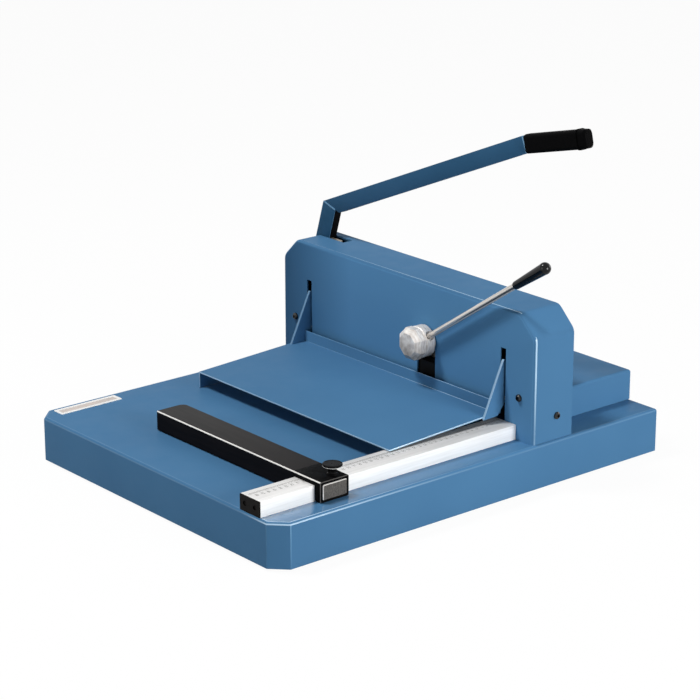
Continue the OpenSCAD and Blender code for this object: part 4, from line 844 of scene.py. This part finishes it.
NUMBER_SIZE = 6.8 * MM
number_points, number_faces, total = [], [], 0
for centimetre in range(first_mm // 10 + 1, last_mm // 10 + 1):
    points, triangles = number_mesh(str(centimetre), NUMBER_SIZE)
    place = np.array([ruler_low[0] + NUMBERS_LEFT, blade_line - centimetre * 10 * MM, scale_z])
    number_points.append(points + place)
    number_faces.append(triangles + total)
    total += len(points)
numbers = mesh_object("ruler_numbers", np.vstack(number_points), np.vstack(number_faces).tolist(), ink)
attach(numbers, "frame")

# %% [markdown]
# ## The thumb knob
# The gauge is locked by a round knob with a thin knurled neck and a bright ring under its rim. A turned piece is a
# profile swept round an axis; here the radius also swings with the angle, which cuts the flutes of the rim and the
# neck.


# %% Thumb knob
def fluted_turning(middle, profile, depth, flutes, sides=240):
    """Rows of the profile round a vertical axis: radius times one minus depth times half of one plus the cosine of
    the angle times the number of flutes."""
    angle = np.linspace(0.0, 2.0 * np.pi, sides, endpoint=False)
    cut = 1.0 - np.array(depth)[:, None] * 0.5 * (1.0 + np.cos(flutes * angle))
    r = profile[:, :1] * cut
    x = middle[0] + r * np.cos(angle)
    y = middle[1] + r * np.sin(angle)
    z = np.broadcast_to(middle[2] + profile[:, 1:], x.shape)
    return np.dstack([x, y, z])


knob_low, knob_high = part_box("thumb_knob")
knob_middle = ((knob_low[0] + knob_high[0]) / 2, (knob_low[1] + knob_high[1]) / 2, knob_low[2])
knob_profile = np.array([
    (8.0, 0.0), (7.9, 0.5), (6.4, 1.6), (6.1, 2.4), (6.0, 3.0), (6.0, 8.2), (6.2, 9.0), (9.0, 10.0), (11.8, 10.9),
    (13.2, 11.2), (13.9, 11.7), (14.0, 12.2), (14.0, 13.9), (13.7, 14.5), (13.0, 14.9), (12.0, 15.0), (11.6, 14.7),
    (8.0, 14.7), (4.0, 14.7),
]) * MM
knob_depth = [0, 0, 0, 0, 0.09, 0.09, 0, 0, 0, 0, 0, 0.022, 0.022, 0, 0, 0, 0, 0, 0]
turned = fluted_turning(knob_middle, knob_profile, knob_depth, 40)
knob = ring_piece("thumb_knob_turned", turned, knob_black, "gauge_knob", ["first", "last"])
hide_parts("thumb_knob")

ring_profile = np.array([
    (12.4, 10.9), (13.5, 11.1), (14.0, 11.6), (14.0, 12.0), (13.6, 12.0), (12.4, 11.5), (12.4, 10.9),
]) * MM
bright_ring = fluted_turning(knob_middle, ring_profile, np.zeros(len(ring_profile)), 1)
ring_piece("thumb_knob_ring", bright_ring, pale_metal, "gauge_knob")

# %% [markdown]
# ## The gauge's end plate
# The block that slides on the ruler ends in a small grey plate with rounded corners and a rolled rim. It stands
# upright, so the same rows of rounded rectangles are used, with their flat plane turned from X and Y to Y and Z.

# %% End plate
end_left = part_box("gauge_end_plate")[0][0]
plate_y = np.array([block_low[1] + 0.0044, block_high[1] - 0.0034])
plate_z = np.array([block_low[2] + 0.0034, block_high[2] - 0.0046])
end_rows = [(0.0, 0.0), (0.0, 0.0010), (0.0002, 0.0013), (0.0006, 0.0015), (0.0011, 0.0016), (0.0014, 0.0014)]
end_middle = (plate_y.mean(), plate_z.mean(), end_left)
flat = pressed_plate(end_middle, np.ptp(plate_y) / 2, np.ptp(plate_z) / 2, end_rows)
end_plate = ring_piece("gauge_end_plate_pressed", flat[:, :, [2, 0, 1]], plate_grey, "gauge", ["last"])
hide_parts("gauge_end_plate")

# %% [markdown]
# ## The crest of the crank
# Through the slot beside the post a raw steel crest shows, just under the cover. It is a ground strip that stands
# on the crank plate and turns with it: rounded rectangles again, stacked upwards, the last ones drawn in.

# %% Crank crest
crank_low, crank_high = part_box("lever_crank")
crest_rows = [(0.0, -0.0004), (0.0, 0.0092), (0.0003, 0.0098), (0.0009, 0.0101)]
crest = pressed_plate((-0.2183, crank_low[1] + 0.0042, crank_high[2]), 0.0128, 0.0036, crest_rows)
ring_piece("crank_crest", crest, crank_steel, "lever", ["first", "last"])

# %% [markdown]
# ## The weld at the elbow
# The long bar is welded to the post, and the bead shows as a ripple under the paint. It is a half-round carried
# along the seam, whose radius rises and falls in small scallops.


# %% Elbow weld
def bead(start, end, radius, ripples, face_normal, steps=72, sides=10, tail=0.08):
    """A half-round from start to end: the radius swings with the sine of the way along, and over the tail, a share
    of half the way, it closes at both ends like a quarter circle."""
    t = np.linspace(0.0, 1.0, steps)
    into_tail = np.clip(np.abs(t - 0.5) * 2.0 - (1.0 - tail), 0.0, None) / tail
    end_round = np.sqrt(np.clip(1.0 - into_tail ** 2, 0.0, 1.0))
    size = radius * end_round * (0.85 + 0.15 * np.abs(np.sin(np.pi * ripples * t))) + 1e-6
    path = np.outer(1 - t, start) + np.outer(t, end)
    way = (end - start) / np.linalg.norm(end - start)
    up = np.array(face_normal, float)
    side = np.cross(up, way)
    angle = np.linspace(0.0, 2.0 * np.pi, sides, endpoint=False)
    ring = np.outer(np.cos(angle), side) + np.outer(0.55 * np.sin(angle), up)
    return path[:, None, :] + size[:, None, None] * ring[None, :, :]


POST_LEAN, SEAM_LENGTH, BEAD_RADIUS = math.radians(17.0), 0.0305, 0.0016
post_right = np.array([math.cos(POST_LEAN), 0.0, -math.sin(POST_LEAN)])
# the bead takes the lever's pale edge finish, a painted highlight
for name, y, outwards in (("elbow_weld_front", post_low[1], -1), ("elbow_weld_back", post_high[1], 1)):
    corner = np.array([elbow[0], y, elbow[2]])
    seam = bead(corner + 0.0004 * post_right, corner + SEAM_LENGTH * post_right, BEAD_RADIUS, 9, (0, outwards, 0))
    ring_piece(name, seam, lever_edge, "lever", ["first", "last"])

# %% [markdown]
# ## Studio
# The photograph shows the machine on pure white. A high lamp at the front left throws the soft shadows on the
# housing, a low lamp at the right lights the ends and draws the bright lines along the edges, and two weak ones, far
# in front and behind, open the shadows. The floor and the world show white to the camera and in reflections; to the
# lamps they stay a plain grey, so that the undersides stay dark.


# %% World
def white_to_camera(shader_tree, output, plain_shader, kind, amount):
    """Mixes in plain white for camera, glossy and transmission rays, and leaves the plain shader to all others."""
    path = shader_tree.nodes.new("ShaderNodeLightPath")
    value = path.outputs["Is Camera Ray"]
    for ray in ("Is Glossy Ray", "Is Transmission Ray"):
        most = shader_tree.nodes.new("ShaderNodeMath")
        most.operation = "MAXIMUM"
        shader_tree.links.new(value, most.inputs[0])
        shader_tree.links.new(path.outputs[ray], most.inputs[1])
        value = most.outputs[0]
    scaled = shader_tree.nodes.new("ShaderNodeMath")
    scaled.operation = "MULTIPLY"
    scaled.inputs[1].default_value = amount
    shader_tree.links.new(value, scaled.inputs[0])
    white = shader_tree.nodes.new(kind)
    white.inputs["Color"].default_value = (1.0, 1.0, 1.0, 1.0)
    white.inputs["Strength"].default_value = 1.0
    mix = shader_tree.nodes.new("ShaderNodeMixShader")
    shader_tree.links.new(scaled.outputs[0], mix.inputs["Fac"])
    shader_tree.links.new(plain_shader.outputs[0], mix.inputs[1])
    shader_tree.links.new(white.outputs[0], mix.inputs[2])
    shader_tree.links.new(mix.outputs[0], output.inputs["Surface"])


WORLD_STRENGTH = 0.07
world = bpy.data.worlds.new("studio_world")
bpy.context.scene.world = world
world.use_nodes = True
background = world.node_tree.nodes["Background"]
background.inputs["Color"].default_value = (1.0, 1.0, 1.0, 1.0)
background.inputs["Strength"].default_value = WORLD_STRENGTH
white_to_camera(world.node_tree, world.node_tree.nodes["World Output"], background, "ShaderNodeBackground", 1.0)
print("world:", world.name, WORLD_STRENGTH)


# %% Floor
def disc(radius, height, rings=3, sides=96):
    """A flat round floor: rings of points at shrinking radius, all at one height."""
    angle = np.linspace(0.0, 2.0 * np.pi, sides, endpoint=False)
    reach = np.linspace(radius, radius / rings, rings)
    return np.dstack([np.outer(reach, np.cos(angle)), np.outer(reach, np.sin(angle)),
                      np.full((rings, sides), height)])


FLOOR_GREY, FLOOR_WHITE = (0.4, 0.4, 0.4), (1.0, 1.0, 1.0)
floor_paint, tree, surface = new_finish("floor_pale", FLOOR_GREY, 0.9, shine=0.0)
seen = tree.nodes.new("ShaderNodeLightPath").outputs["Is Camera Ray"]
set_colour(tree, surface, blend_colours(tree, seen, FLOOR_GREY, FLOOR_WHITE))
white_to_camera(tree, tree.nodes["Material Output"], surface, "ShaderNodeEmission", 0.96)
floor_height = cad_box[0][2] - 0.0005
floor = mesh_object("floor", *ring_faces(disc(6.0, floor_height), ["last"]), floor_paint)
print("floor at", round(floor_height, 4))


# %% Lamps
def softbox(name, place, size, power, target=(0.0, 0.0, 0.1)):
    """A square area lamp at a place, turned to face a target point, the machine's middle if not given."""
    data = bpy.data.lights.new(name, "AREA")
    data.shape = "SQUARE"
    data.size = size
    data.energy = power
    lamp = bpy.data.objects.new(name, data)
    lamp.location = place
    aim = np.array(target) - np.array(place)
    lamp.rotation_euler = (math.atan2(math.hypot(aim[0], aim[1]), -aim[2]), 0.0,
                           math.atan2(aim[1], aim[0]) - math.pi / 2)
    bpy.context.scene.collection.objects.link(lamp)
    print(name, power, "W")


softbox("key_high", (-0.62, -0.95, 2.5), 0.5, 50.0)
softbox("fill_front", (-0.2, -3.0, 0.9), 1.6, 17.0)
softbox("fill_back", (0.9, 3.0, 1.0), 1.4, 24.0)
softbox("side_right", (2.9, 0.35, 0.7), 1.2, 70.0)
bpy.context.scene.view_settings.view_transform = "Standard"
